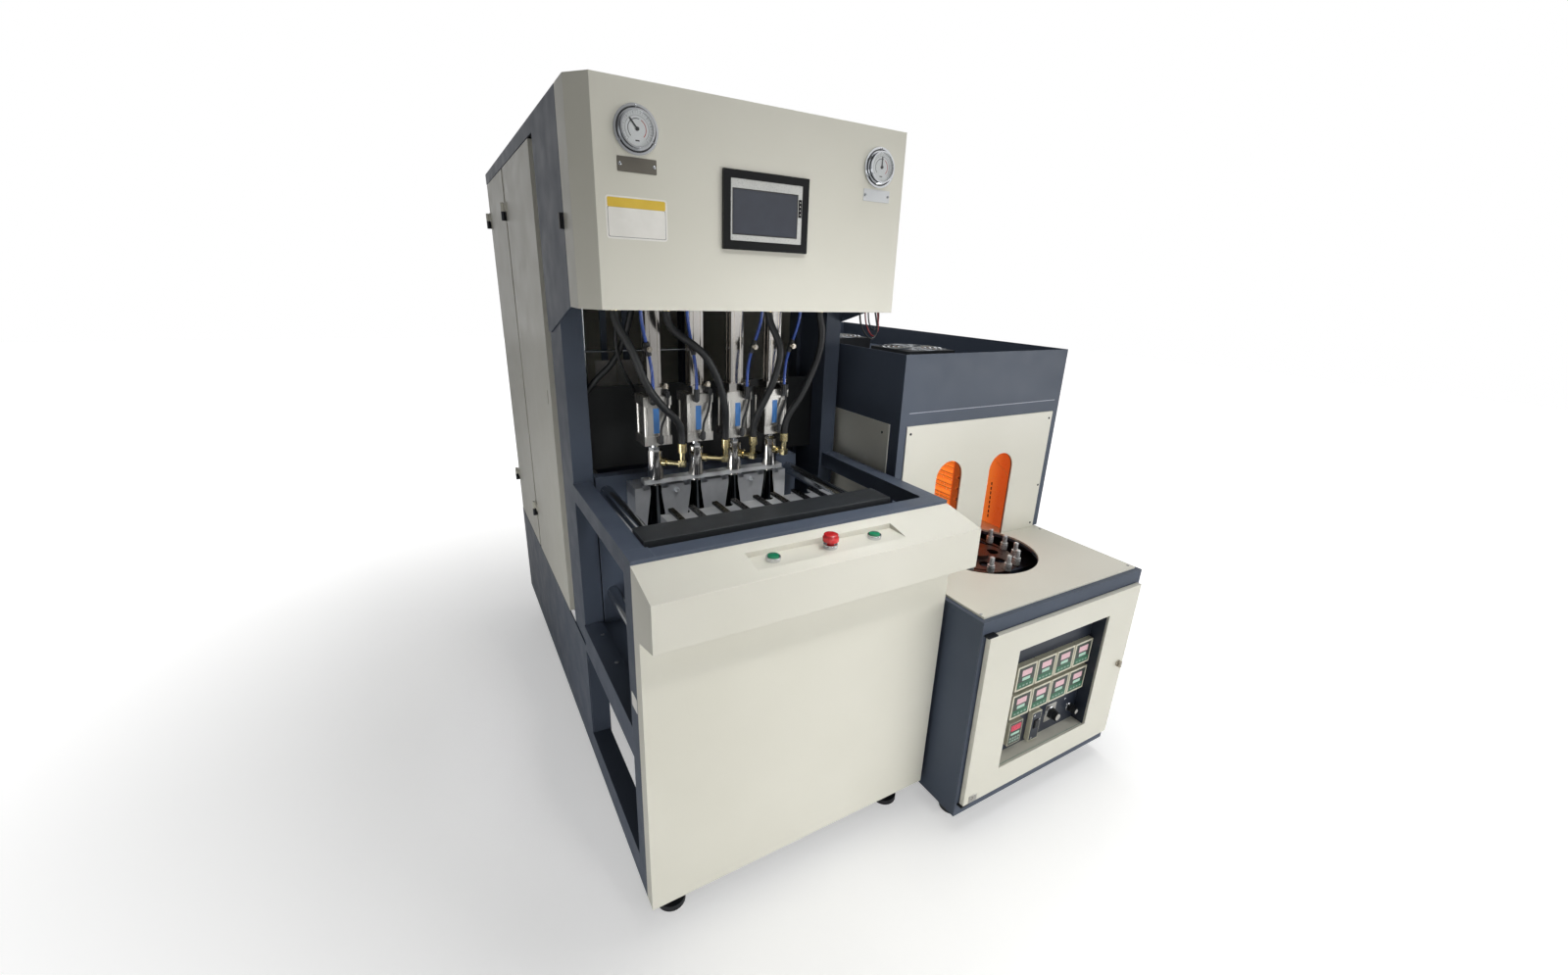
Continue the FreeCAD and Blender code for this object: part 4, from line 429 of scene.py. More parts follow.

# %% [markdown]
# ## Dress the solids
#
# Most pieces have one finish all over, so the list below is also a parts list with its surface
# treatments.

# %% Give every solid its finish
FINISH_OF = {
    "slate_powder_coat": "blower_frame blower_skirt upper_cowl heater_base heat_tunnel "
                         "fixed_platen crosshead",
    "cream_powder_coat": "wide_door narrow_door cabinet_cover hood control_box front_panel "
                         "heater_table tunnel_panels heater_door",
    "black_satin_enamel": "front_platen",
    # The back plate is painted near black as painted shade for the dark inside of the machine.
    "back_plate_painted_shade": "back_plate",
    "chrome_plated_steel": "pressure_gauges button_collars sealing_rods",
    "ground_bar_steel": "tie_bars",
    "satin_zinc_plate": "nozzle_guide",
    "drawn_stainless": "stretch_rods",
    "polished_stainless": "blow_nozzles stretch_cylinders",
    "milled_aluminium": "mould_rear clamp_cylinder",
    "anodised_aluminium": "sealing_cylinders",
    "brass": "brass_elbows",
    "black_nylon": "port_fittings tunnel_fans fan_impeller gauge_pointer_left "
                   "gauge_pointer_right selector_knob speed_knob levelling_feet",
    "blackened_steel": "hinges_and_catches",
    "black_glossy_abs": "touch_panel",
    "green_acrylic": "green_button_left green_button_right",
    "red_acrylic": "stop_button",
    "orange_stove_enamel": "tunnel_liner",
    "quartz_glass": "quartz_lamps",
    "oiled_brown_steel": "sprocket_front sprocket_back",
    "grey_casting_paint": "drive_motor",
    "cream_abs": "instruments",
    "nickel_plated_brass": "door_latch",
}


def dress(name, finish):
    """Paints a solid of the model."""
    mesh = nodes[name].data
    mesh.materials.clear()
    mesh.materials.append(finishes[finish])


for finish, names in FINISH_OF.items():
    for name in names.split():
        dress(name, finish)
    print(finish, "on", names)

# %% [markdown]
# ## Two finishes on one piece
#
# The chain is oiled brown plate below and zinc-plated chucks above, and the front mould half is
# bright, with dark steel bars let into its top. One solid can carry both: a Math node compares
# a point's own height with the real seam, and that picks the finish.

# %% Split a finish at a height
def two_finishes(name, lower, upper, seam):
    """Mixes two finishes at a level plane: upper is above seam millimetres."""
    material = finishes[lower].copy()
    material.name = name
    finishes[name] = material
    tree = material.node_tree
    place = next(n for n in tree.nodes if n.type == "TEX_COORD").outputs["Object"]
    height = add(tree, "ShaderNodeSeparateXYZ", {0: place}).outputs["Z"]
    above = add(tree, "ShaderNodeMath", {0: height, 1: seam * MM}, operation="GREATER_THAN")
    other = finishes[upper].node_tree.nodes["Principled BSDF"].inputs
    second = add(tree, "ShaderNodeBsdfPrincipled",
                 {socket: other[socket].default_value
                  for socket in ("Base Color", "Metallic", "Roughness", "IOR")})
    drive(tree, second, Roughness=between(tree, grain(tree, place, 3),
                                          other["Roughness"].default_value * 0.5, 0.3))
    both = add(tree, "ShaderNodeMixShader",
               {0: above, 1: tree.nodes["Principled BSDF"], 2: second})
    drive(tree, tree.nodes["Material Output"], Surface=both)


for name, finish, lower, upper, seam in (
        ("chuck_chain", "chain_steel_and_zinc", "oiled_brown_steel", "satin_zinc_plate", 653.2),
        ("mould_front", "mould_and_bars", "milled_aluminium", "blackened_steel", 935.2)):
    two_finishes(finish, lower, upper, seam)
    dress(name, finish)
    print(name, "changes its finish", seam, "mm up")

# %% [markdown]
# ## Air hoses
#
# Each blowing station gets its high-pressure air through a black rubber hose, 18 mm across,
# from the manifold above down to a brass elbow. A hose can't kink, so its line is a smooth
# NURBS curve.

# %% Draw smooth lines and tubes
def curve_through(name, points, radius=0.0):
    """A NURBS curve with these control points; a radius makes it a round tube."""
    line = bpy.data.curves.new(name, "CURVE")
    line.dimensions = "3D"
    spline = line.splines.new("NURBS")
    spline.points.add(len(points) - 1)
    for place, point in zip(spline.points, points):
        place.co = (*point, 1)
    spline.order_u = 3
    spline.use_endpoint_u = True
    line.resolution_u = 10
    line.bevel_depth = radius
    line.bevel_resolution = 5
    line.use_fill_caps = True
    return linked(name, line)


def centreline(points):
    """Points of the smooth curve itself, read from the spline."""
    guide = curve_through("guide", points)
    bpy.context.view_layer.update()
    found = [v.co.copy() for v in bpy.data.meshes.new_from_object(guide).vertices]
    bpy.data.objects.remove(guide)
    return found


def length_of(path):
    """The length of a path in metres."""
    return sum((b - a).length for a, b in zip(path, path[1:]))


def swept(path, radius, steps=20):
    """A round tube along a path, without twist."""
    corners = []
    across = square_to((path[1] - path[0]).normalized())[0]
    for i, point in enumerate(path):
        along = (path[min(i + 1, len(path) - 1)] - path[max(i - 1, 0)]).normalized()
        across = (across - along * across.dot(along)).normalized()
        pair = across, along.cross(across)
        corners += [point + radius * swing(pair, 360 * k / steps) for k in range(steps)]
    return corners, ring_faces(len(path), steps)


def tube(name, points, wide, finish, slot=None, **facts):
    """A bevelled tube between fixed parts; its facts are not used."""
    made = curve_through(name, points, wide / 2)
    made.data.materials.append(finishes[finish])
    length = round(length_of(centreline(points)), 3)
    facts = {"exit": points[0], "length": length, "stiffness": "stiff", **facts}
    riding(made, "machine")
    print(name, "smooth line", length, "m")
    return made


# %% Lay the four hoses
HOSE_RADIUS = 0.009
HOSES = {
    "air_hose_1": (
        (-0.493, -0.3905, 1.055), (-0.493, -0.3905, 1.079), (-0.503, -0.4005, 1.113),
        (-0.552, -0.4265, 1.157), (-0.594, -0.4325, 1.214), (-0.614, -0.4275, 1.283),
        (-0.643, -0.4165, 1.337), (-0.651, -0.4105, 1.368), (-0.651, -0.4105, 1.390)),
    "air_hose_2": (
        (-0.374, -0.3905, 1.055), (-0.374, -0.3905, 1.087), (-0.386, -0.4165, 1.142),
        (-0.409, -0.4305, 1.211), (-0.438, -0.4325, 1.265), (-0.467, -0.4305, 1.295),
        (-0.518, -0.4155, 1.329), (-0.533, -0.4105, 1.361), (-0.533, -0.4105, 1.390)),
    "air_hose_3": (
        (-0.294, -0.3905, 1.055), (-0.294, -0.3905, 1.081), (-0.285, -0.4055, 1.126),
        (-0.275, -0.4165, 1.154), (-0.254, -0.4275, 1.208), (-0.238, -0.4305, 1.273),
        (-0.245, -0.4245, 1.307), (-0.269, -0.4105, 1.359), (-0.269, -0.4105, 1.390)),
    "air_hose_4": (
        (-0.1985, -0.3905, 1.055), (-0.1985, -0.3905, 1.077), (-0.189, -0.3945, 1.108),
        (-0.154, -0.4025, 1.158), (-0.109, -0.4075, 1.258), (-0.103, -0.4105, 1.324),
        (-0.117, -0.4105, 1.366), (-0.117, -0.4105, 1.390)),
}
for (name, points), length in zip(HOSES.items(), (0.388, 0.396, 0.355, 0.359)):
    path = centreline(points)
    hose = shape(name + "_rubber", swept(path, HOSE_RADIUS), "air_hose_rubber", "machine",
                 smooth=True)
    hose.parent = None
    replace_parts(hose, name)
    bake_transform(hose)
    print(name, "smooth line", round(length_of(path), 3), "m")

# %% [markdown]
# ## Control tubes
#
# Thin blue polyurethane tube, 8 mm across, brings control air to each sealing cylinder. It
# stays between fixed parts, so it is simply a bevelled curve.

# %% Lay the blue tubes
PORT_Y = -0.3905
BLUE_STARTS = {"blue_tube_1": (-0.562, -1), "blue_tube_2": (-0.452, -1),
               "blue_tube_3": (-0.314, 1), "blue_tube_4": (-0.204, 1)}
BLUE_STEPS = ((0, 0, 1.188), (0, 0, 1.2324), (0.009, 0.004, 1.2789), (0.022, 0.014, 1.3254),
              (0.029, 0.020, 1.3617), (0.029, 0.020, 1.390))
blue_lines = []
for name, (x, way) in BLUE_STARTS.items():
    points = [(x + way * across, PORT_Y - lean, z) for across, lean, z in BLUE_STEPS]
    blue_lines.append(centreline(points))
    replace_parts(tube(name + "_line", points, 0.008, "blue_polyurethane", "blue_tubing",
                     exit=points[-1], length=0.207), name)

# %% [markdown]
# ## Repeated small parts with Geometry Nodes
#
# Screws, tie rods, knobs and rings repeat by the dozen. Each tree takes a mesh of bare points,
# where every point also stores the direction its part faces, and stands one part on each. The
# tree ends in Realize Instances, because an exported mesh can't hold instances.

# %% Run a tree on points and keep a plain mesh
def grown(name, places, group, finish, body, slot=None, smooth=True, **inputs):
    """Stands a tree's parts on places, each (point in metres, facing), as a plain mesh."""
    mesh = bpy.data.meshes.new(name + "_places")
    mesh.from_pydata([tuple(spot) for spot, way in places], [], [])
    facing = mesh.attributes.new("facing", "FLOAT_VECTOR", "POINT")
    facing.data.foreach_set("vector", [c for spot, way in places for c in way])
    host = linked(name + "_host", mesh)
    modifier = host.modifiers.new("grow", "NODES")
    modifier.node_group = group
    inputs["Finish"] = finishes[finish]
    for item in group.interface.items_tree:
        if item.name in inputs:
            modifier[item.identifier] = inputs[item.name]
    bpy.context.view_layer.update()
    ready = host.evaluated_get(bpy.context.evaluated_depsgraph_get())
    result = bpy.data.meshes.new_from_object(ready)
    result.name = name
    bpy.data.objects.remove(host)
    soften(result, smooth, 35)
    print(name, "faces", len(result.polygons))
    return riding(linked(name, result), body)


print("parts are kept as plain meshes")


# %% Begin and end a tree
def new_tree(title, **numbers):
    """A tree with its named inputs, where numbers holds those that are lengths or counts."""
    tree = bpy.data.node_groups.new(title, "GeometryNodeTree")
    tree.interface.new_socket("Points", in_out="INPUT", socket_type="NodeSocketGeometry")
    for name, value in numbers.items():
        kind = "NodeSocketInt" if isinstance(value, int) else "NodeSocketFloat"
        tree.interface.new_socket(name, in_out="INPUT", socket_type=kind).default_value = value
    tree.interface.new_socket("Finish", in_out="INPUT", socket_type="NodeSocketMaterial")
    tree.interface.new_socket("Parts", in_out="OUTPUT", socket_type="NodeSocketGeometry")
    return tree, add(tree, "NodeGroupInput").outputs


def end_tree(tree, given, instances):
    """Makes instances real, paints them and gives them out."""
    real = add(tree, "GeometryNodeRealizeInstances", {0: instances})
    painted = add(tree, "GeometryNodeSetMaterial",
                  {"Geometry": real, "Material": given["Finish"]})
    add(tree, "NodeGroupOutput", {0: painted})
    return tree


def stood_on_points(title, build):
    """A tree that stands one part, made by build(tree, given), on every point."""
    tree, given = new_tree(title, Radius=0.004, Height=0.002)
    facing = add(tree, "GeometryNodeInputNamedAttribute", {"Name": "facing"},
                 data_type="FLOAT_VECTOR")
    turn = add(tree, "FunctionNodeAlignRotationToVector", {"Vector": facing}, axis="Z")
    stood = add(tree, "GeometryNodeInstanceOnPoints",
                {"Points": given["Points"], "Instance": build(tree, given),
                 "Rotation": turn})
    return end_tree(tree, given, stood)


print("trees so far:", len(bpy.data.node_groups))

# %% [markdown]
# A part is drawn with radius 1 and height 1 first, and its details are shares of these. The
# tree's own inputs then bring it to size, so one tree serves screws of every size.

# %% Build the screw and the rod
def drum(tree, radius=1.0, height=1.0, foot=0.0, top=1.0, steps=16):
    """A short cylinder or cone whose foot is at some share of the part's height."""
    cone = add(tree, "GeometryNodeMeshCone",
               {"Vertices": steps, "Radius Top": radius * top, "Radius Bottom": radius,
                "Depth": height})
    return add(tree, "GeometryNodeTransform", {"Geometry": cone, "Translation": (0, 0, foot)})


def sized(tree, given, *pieces):
    """Pieces of unit radius and height, joined and brought to the tree's size."""
    joined = add(tree, "GeometryNodeJoinGeometry")
    for piece in pieces:
        tree.links.new(source(piece), joined.inputs[0])
    size = add(tree, "ShaderNodeCombineXYZ",
               {"X": given["Radius"], "Y": given["Radius"], "Z": given["Height"]})
    return add(tree, "GeometryNodeTransform", {"Geometry": joined, "Scale": size})


def screw_head(tree, given):
    """Pan head: a low drum, a domed top and a raised cross for the driver."""
    bar = add(tree, "GeometryNodeMeshCube", {"Size": (1, 0.22, 0.08)})
    crosses = [add(tree, "GeometryNodeTransform",
                   {"Geometry": bar, "Translation": UP, "Rotation": (0, 0, turn)})
               for turn in (0, math.pi / 2)]
    return sized(tree, given, drum(tree, height=0.6), drum(tree, height=0.4, foot=0.6, top=0.6),
                 *crosses)


def plain_rod(tree, given):
    """A round rod standing on the point."""
    return sized(tree, given, drum(tree, steps=20))


screws = stood_on_points("pan head screws", screw_head)
rods = stood_on_points("round rods", plain_rod)
print("trees:", [group.name for group in bpy.data.node_groups])

# %% [markdown]
# ## Pressure gauges
#
# Each gauge is a chromed case with a silver card behind glass, and its brass socket shows
# behind it when the hood is open. The card is printed with a scale: ticks all round, a black
# arc for the working range and a red one above it. Ticks are one bar repeated round a circle,
# so a small tree grows them.

# %% Draw scales and arcs
def scale_ticks():
    """A tree that stands bars round a circle, every third of them broad."""
    tree, given = new_tree("scale ticks", Count=28, Radius=0.027, Length=0.004)
    line = add(tree, "GeometryNodeMeshLine", {"Count": given["Count"], "Offset": (0, 0, 0)})
    index = add(tree, "GeometryNodeInputIndex")
    last = add(tree, "ShaderNodeMath", {0: given["Count"], 1: 1.0}, operation="SUBTRACT")
    share = add(tree, "ShaderNodeMath", {0: index, 1: last}, operation="DIVIDE")
    turn = between(tree, share, math.radians(225), math.radians(-45), 0.0, 1.0)
    third = add(tree, "ShaderNodeMath", {0: index, 1: 3.0}, operation="MODULO")
    slim = add(tree, "ShaderNodeMath", {0: third, 1: 0.5}, operation="GREATER_THAN")
    width = between(tree, slim, 1.0, 0.5, 0.0, 1.0)
    size = add(tree, "ShaderNodeVectorMath", {0: (1, 0.13, 0.02), "Scale": given["Length"]},
               operation="SCALE")
    moved = add(tree, "GeometryNodeTransform",
                {"Geometry": add(tree, "GeometryNodeMeshCube", {"Size": size}),
                 "Translation": add(tree, "ShaderNodeCombineXYZ", {"X": given["Radius"]})})
    stood = add(tree, "GeometryNodeInstanceOnPoints",
                {"Points": line, "Instance": moved,
                 "Rotation": add(tree, "ShaderNodeCombineXYZ", {"Z": turn}),
                 "Scale": add(tree, "ShaderNodeCombineXYZ", {"X": 1.0, "Y": width, "Z": 1.0})})
    return end_tree(tree, given, stood)


def arc_band(centre, radius, wide, start, stop, thick=0.15, steps=28):
    """A flat printed arc facing the front, in mm and degrees, clockwise to stop."""
    section = ((radius, 0), (radius + wide, 0), (radius + wide, thick), (radius, thick))
    corners = [Vector(centre) + MM * (r * swing(FRONT, start + (stop - start) * k / steps)
                                      + lift * Vector(AHEAD))
               for k in range(steps + 1) for r, lift in section]
    return corners, ring_faces(steps + 1, len(section))


ticks = scale_ticks()
print("inputs of the ticks:", [item.name for item in ticks.interface.items_tree])

# %% Print the scales and glaze the gauges
GAUGES = {"left": -0.622, "right": -0.049}
GAUGE_Z = 1.702
DIAL_Y = -0.5355
PRINT_Y = DIAL_Y - 0.0004
SOCKET = ((11, 0), (11, 4), (8, 4.5), (8, 14), (6.5, 15.5))
for side, x in GAUGES.items():
    for part, finish, profile, y, steps, body in (
            ("dial_card_", "dial_card", ((29.9, 0), (29.9, 0.3), (29.6, 0.4)), DIAL_Y, 48,
             "hood_unit"),
            ("gauge_glass_", "dial_glass", ((30, 0), (30, 1.0), (29.4, 1.3)), -0.5412, 48,
             "hood_unit"),
            ("pointer_cap_", "dial_print_black", ((3.4, 0), (3.4, 0.8), (2.2, 1.3)), -0.5385,
             24, side + "_needle")):
        shape(part + side, turned(profile, (x, y, GAUGE_Z), AHEAD, steps), finish, body)
    scale = grown("scale_ticks_" + side, [((0, 0, 0), UP)], ticks, "dial_print_black",
                  "hood_unit", smooth=False)
    scale.data.transform(Matrix.Translation((x, DIAL_Y - 0.0005, GAUGE_Z))
                         @ Matrix.Rotation(math.radians(90), 4, "X"))
    for part, finish, *arc in (("black_arc_", "dial_print_black", 16.5, 1.3, 225, 75),
                               ("red_arc_", "dial_print_red", 16.5, 1.3, 62, -45),
                               ("inner_ring_", "dial_print_black", 22.5, 0.4, 225, -45)):
        shape(part + side, arc_band((x, PRINT_Y, GAUGE_Z), *arc), finish, "hood_unit")
    shape("unit_mark_" + side, plate((x, PRINT_Y, GAUGE_Z - 0.019), FRONT, 8, 2.2, 0.15, 0.5,
                                     0.05), "dial_print_black", "hood_unit")
    shape("gauge_socket_" + side,
          turned(SOCKET, (x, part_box("pressure_gauges")[1].y, GAUGE_Z), BEHIND), "brass",
          "hood_unit", smooth=True)
flange_screws = [(Vector((x, -0.5315, GAUGE_Z)) + 0.038 * swing(FRONT, turn), AHEAD)
                 for x in GAUGES.values() for turn in (90, 210, 330)]
grown("gauge_flange_screws", flange_screws, screws, "turned_steel", "hood_unit", "chrome",
      Radius=0.0032, Height=0.0018)

# %% [markdown]
# ## Plates and label
#
# A small etched plate sits below each gauge, and a white vinyl sheet with a yellow band is
# stuck on the hood's left. Plain sheet, rounded corners and small screws are what the eye
# reads from a step away. All of it rides on the hood, which swings open on its hinge.

# %% Fix the plates and the label
HOOD_FACE = -0.5275
PLATE_Z = 1.643
PLATES = {-0.622: "etched_plate", -0.051: "satin_zinc_plate"}
for k, (x, finish) in enumerate(PLATES.items()):
    shape("gauge_plate_%d" % (k + 1), plate((x, HOOD_FACE, PLATE_Z), FRONT, 76, 26, 1.0, 1.5),
          finish, "hood_unit")
plate_screws = [((x + side * 0.033, HOOD_FACE - 0.001, PLATE_Z), AHEAD)
                for x in PLATES for side in (-1, 1)]
grown("plate_screws", plate_screws, screws, "turned_steel", "hood_unit", "chrome",
      Radius=0.0032, Height=0.0016)
LABEL_X = -0.6255
FIELD_Z = 1.542
plates("hood_unit", (
    ("label_sheet", "label_white_vinyl", (LABEL_X, HOOD_FACE, 1.550), FRONT, 121, 76, 0.3, 6,
     0.1),
    ("label_edge_line", "dial_print_black", (LABEL_X, HOOD_FACE - 0.0003, FIELD_Z), FRONT, 114,
     53, 0.1, 3, 0.05),
    ("label_field", "label_white_vinyl", (LABEL_X, HOOD_FACE - 0.0004, FIELD_Z), FRONT, 112.6,
     51.6, 0.1, 3, 0.05),
    ("label_band", "label_yellow_vinyl", (LABEL_X, HOOD_FACE - 0.0003, 1.5765), FRONT, 114, 17,
     0.15, 3, 0.05)))
print("plates:", len(PLATES), "and one label")

# %% [markdown]
# ## Touch panel
#
# The panel is a black moulded case let into the hood. In its face sits a pale metal-look film
# with a window for the screen, and a narrow black strip for the status lamps. The screen is
# off, so it is dark glass that still reflects the room.

# %% Build the face of the touch panel
panel = middle("touch_panel")
film_x, film_z = panel.x - 0.0005, panel.z + 0.003
strip_x, strip_z, screen_z = film_x + 0.0815, film_z + 0.012, film_z - 0.005
FILM_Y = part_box("touch_panel")[0].y + 0.002
FILM_FACE = FILM_Y - 0.0012
plates("hood_unit", (
    ("panel_film", "silver_film", (film_x, FILM_Y, film_z), FRONT, 175, 122, 1.2, 2, 0.3),
    ("screen_frame", "dial_print_black", (film_x - 0.003, FILM_FACE, screen_z), FRONT, 158, 89,
     0.3, 1, 0.1),
    ("screen_glass", "dark_screen_glass", (film_x - 0.0035, FILM_FACE - 0.0003, screen_z),
     FRONT, 153, 84, 0.3, 1, 0.1),
    ("lamp_strip", "black_glossy_abs", (strip_x, FILM_FACE, strip_z), FRONT, 8, 36, 0.4, 1,
     0.1)))
grown("status_lamps", [((strip_x, FILM_FACE - 0.0003, strip_z + k * 0.008), AHEAD)
                       for k in (-1.5, -0.5, 0.5, 1.5)],
      rods, "label_white_vinyl", "hood_unit", Radius=0.0012, Height=0.0005)

# %% [markdown]
# ## Sealing cylinders
#
# A small square air cylinder is four tie rods that clamp a barrel between two caps. The rods
# show as round ribs at the corners, and a plain blue strip runs down the front of each.

# %% Add tie rods, cap screws and strips
STATIONS = (-0.548, -0.438, -0.328, -0.218)
NOZZLE_Y = -0.3425
ROD_OUT = 0.0285
CAP = 0.022
low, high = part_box("sealing_cylinders")
rod_spots = [(x + sx * ROD_OUT, NOZZLE_Y + sy * ROD_OUT)
             for x in STATIONS for sx in (-1, 1) for sy in (-1, 1)]
grown("cylinder_tie_rods", [((*spot, low.z + CAP), UP) for spot in rod_spots], rods,
      "anodised_aluminium", "machine", "aluminium", Radius=0.0055,
      Height=high.z - low.z - 2 * CAP)
grown("cylinder_cap_screws", [((*spot, low.z), DOWN) for spot in rod_spots], screws,
      "blackened_steel", "machine", "black_steel", Radius=0.0042, Height=0.002)
for k, x in enumerate(STATIONS):
    strip = plate((x - 0.003, NOZZLE_Y - 0.031, (low.z + high.z) / 2), FRONT, 15, 62, 0.4, 1,
                  0.1)
    shape("cylinder_strip_%d" % (k + 1), strip, "label_blue", "machine")

# %% [markdown]
# ## Cavity walls
#
# The bottle hollows of both mould halves are polished. A thin half shell in a dark steel colour
# lines each hollow as painted shade and painted dark reflection, so that the blocks stay bright
# and the cavities read dark beside them.

# %% Line the bottle hollows with painted shade
CAVITY = ((0.6772, 37.7), (0.752, 37.7), (0.917, 14.2), (0.9348, 14.2))
SHELL = 0.4
MOULD_OPENING = 0.196


def half_shell(x, face_y, way, steps=14):
    """A thin shell on one half of a bottle's hollow; way is 1 towards the back."""
    turns = [180 * (0.01 + 0.98 * k / steps) for k in range(steps + 1)]
    corners = [Vector((x, face_y, z)) + MM * r * swing((ACROSS, (0, way, 0)), turn)
               for z, radius in CAVITY
               for r, there in ((radius, turns), (radius - SHELL, turns[::-1]))
               for turn in there]
    faces = ring_faces(len(CAVITY), 2 * len(turns))
    return corners, faces if way > 0 else [face[::-1] for face in faces]


for half, face_y, way, body in (("rear", NOZZLE_Y, 1, "machine"),
                                ("front", NOZZLE_Y - MOULD_OPENING, -1, "clamp_unit")):
    shape("cavity_shade_" + half, collect(half_shell(x, face_y, way) for x in STATIONS),
          "cavity_painted_shade", body, smooth=True)
print("cavities lined:", 2 * len(STATIONS))

# %% [markdown]
# ## Flow controls and thin hoses
#
# Air speed is set at the cylinder: a black elbow on the cap carries a knurled brass knob, and
# a thin black hose links it with the lower port. A second control sits in the blue line. The
# knurling is a ring of small ribs, one tree for all eight knobs.

# %% Build the knurled knob
def knurled_knob(tree, given):
    """A short drum with a ribbed rim and a stepped top."""
    circle = add(tree, "GeometryNodeMeshCircle", {"Vertices": 18, "Radius": 1.0})
    rib = add(tree, "GeometryNodeMeshCube", {"Size": (0.2, 0.16, 1)})
    raised = add(tree, "GeometryNodeTransform", {"Geometry": rib, "Translation": (0, 0, 0.5)})
    away = add(tree, "GeometryNodeInputPosition")
    turn = add(tree, "FunctionNodeAlignRotationToVector", {"Vector": away}, axis="X")
    ribs = add(tree, "GeometryNodeInstanceOnPoints",
               {"Points": circle, "Instance": raised, "Rotation": turn})
    return sized(tree, given, drum(tree, 0.9, steps=24), drum(tree, 0.6, 0.35, 1.0, steps=20),
                 ribs)


knobs = stood_on_points("knurled knobs", knurled_knob)
print("trees with the knob:", len(bpy.data.node_groups))

# %% Stand the flow controls and lay the thin hoses
HOSE_Y = -0.3845
INLINE = ((4.6, -17), (6.4, -16), (6.4, -7), (7.6, -6), (7.6, 6), (6.4, 7), (6.4, 16),
          (4.6, 17))
lower_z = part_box("port_fittings")[0].z + 0.007
cap_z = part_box("sealing_cylinders")[1].z
knob_places = []
fittings = []
for k, station in enumerate(STATIONS):
    x, low_x = station + 0.024, station + 0.002
    fittings += [
        turned(((5.2, 0), (5.2, 10), (6.2, 10.5), (6.2, 17), (5, 18)), (x, -0.3725, cap_z), UP,
               20),
        turned(((5, 0), (5, 12), (4, 13)), (x, -0.3725, cap_z + 0.009), AHEAD, 18),
        turned(((5.6, 0), (5.6, 13), (4.6, 15)), (x, HOSE_Y, cap_z + 0.013), DOWN, 18),
        turned(((6.5, 0), (6.5, 14), (5.4, 16)), (low_x, PORT_Y, lower_z), UP, 18)]
    knob_places.append(((x, -0.3725, cap_z + 0.018), UP))
    points = [(x, HOSE_Y, cap_z + 0.001), (x, -0.3855, cap_z - 0.020),
              (x - 0.009, -0.3880, cap_z - 0.050), (low_x, PORT_Y, lower_z + 0.036),
              (low_x, PORT_Y, lower_z + 0.015)]
    tube("thin_hose_%d" % (k + 1), points, 0.006, "air_hose_rubber", "hose_rubber")
for path in blue_lines:
    at = int(len(path) * 0.42)
    fittings.append(turned(INLINE, path[at], (path[at + 2] - path[at - 2]).normalized(), 20))
    knob_places.append((path[at] + Vector((0, -0.0072, 0)), AHEAD))
shape("flow_control_bodies", collect(fittings), "black_nylon", "machine", smooth=True)
grown("flow_control_knobs", knob_places, knobs, "nickel_plated_brass", "machine", "brass",
      Radius=0.0062, Height=0.009)

# %% [markdown]
# ## Brass hose ends
#
# The hose ends in a crimped brass ferrule with turned ribs, above a hexagon. Rings threaded on
# a short line give the ribs, again by a tree, this time with a curve swept into a torus. The
# same rings draw a black ring round each gauge, a painted shadow in the gap between flange and
# case.

# %% Turn the ferrules
def ring_part(tree, given):
    """One torus round the point: Radius is the ring's and Height its wire's radius."""
    big, small = (add(tree, "GeometryNodeCurvePrimitiveCircle",
                      {"Resolution": steps, "Radius": given[radius]})
                  for steps, radius in ((32, "Radius"), (8, "Height")))
    return add(tree, "GeometryNodeCurveToMesh", {"Curve": big, "Profile Curve": small})


rings = stood_on_points("rings", ring_part)
grown("ferrule_ribs", [((x, y, z - 0.020 + k * 0.0042), UP)
                       for x, y, z in (points[0] for points in HOSES.values())
                       for k in range(5)],
      rings, "brass", "nozzle_unit", "brass", Radius=0.0108, Height=0.0009)
grown("manifold_ferrules", [((x, y, z - 0.016), UP)
                            for x, y, z in (points[-1] for points in HOSES.values())],
      rods, "brass", "machine", "brass", Radius=0.0115, Height=0.016)
# Black rings round the gauges: a painted shadow in the gap between flange and case.
grown("gauge_shadow_rings", [((x, -0.5318, GAUGE_Z), AHEAD) for x in GAUGES.values()], rings,
      "black_nylon", "hood_unit", Radius=0.0368, Height=0.0016)

# %% [markdown]
# ## Push buttons
#
# A start button is a green cap in a chromed ring, and the stop is a red mushroom. The caps get
# the fine concentric rim that a moulded button has, and the collars their gripping edge.

# %% Finish the buttons
COLLARS_X = (-0.468, -0.330, -0.213)
RIM = ((11.4, 0), (11.4, 0.8), (10.6, 1.1))
CROWN = ((15.6, 0), (14.8, 1.0), (12, 1.7), (8, 2.1), (0.4, 2.3))
for node, name, body, finish, profile, steps in (
        ("green_button_left", "green_button_left_rim", "left_push", "green_acrylic", RIM, 40),
        ("green_button_right", "green_button_right_rim", "right_push", "green_acrylic", RIM,
         40),
        ("stop_button", "stop_button_crown", "stop_push", "red_acrylic", CROWN, 48)):
    cap = middle(node)
    cap.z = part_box(node)[1].z
    shape(name, turned(profile, cap, UP, steps), finish, body, smooth=True)
collar_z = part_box("button_collars")[1].z - 0.0035
grown("collar_rings", [((x, middle("stop_button").y, collar_z + k * 0.0014), UP)
                       for x in COLLARS_X for k in range(2)],
      rings, "chrome_plated_steel", "machine", "chrome", Radius=0.015, Height=0.0005)

# %% [markdown]
# ## The instrument window
#
# Behind the window in the heater's door is a dark sheet with eight temperature controllers.
# Each has a pale frame, a reading in pinkish red, a second line in mint and a green band with
# its keys. Displays are emissive in reality. Here they are lit only a little, so that the
# colours stay as they are in daylight.

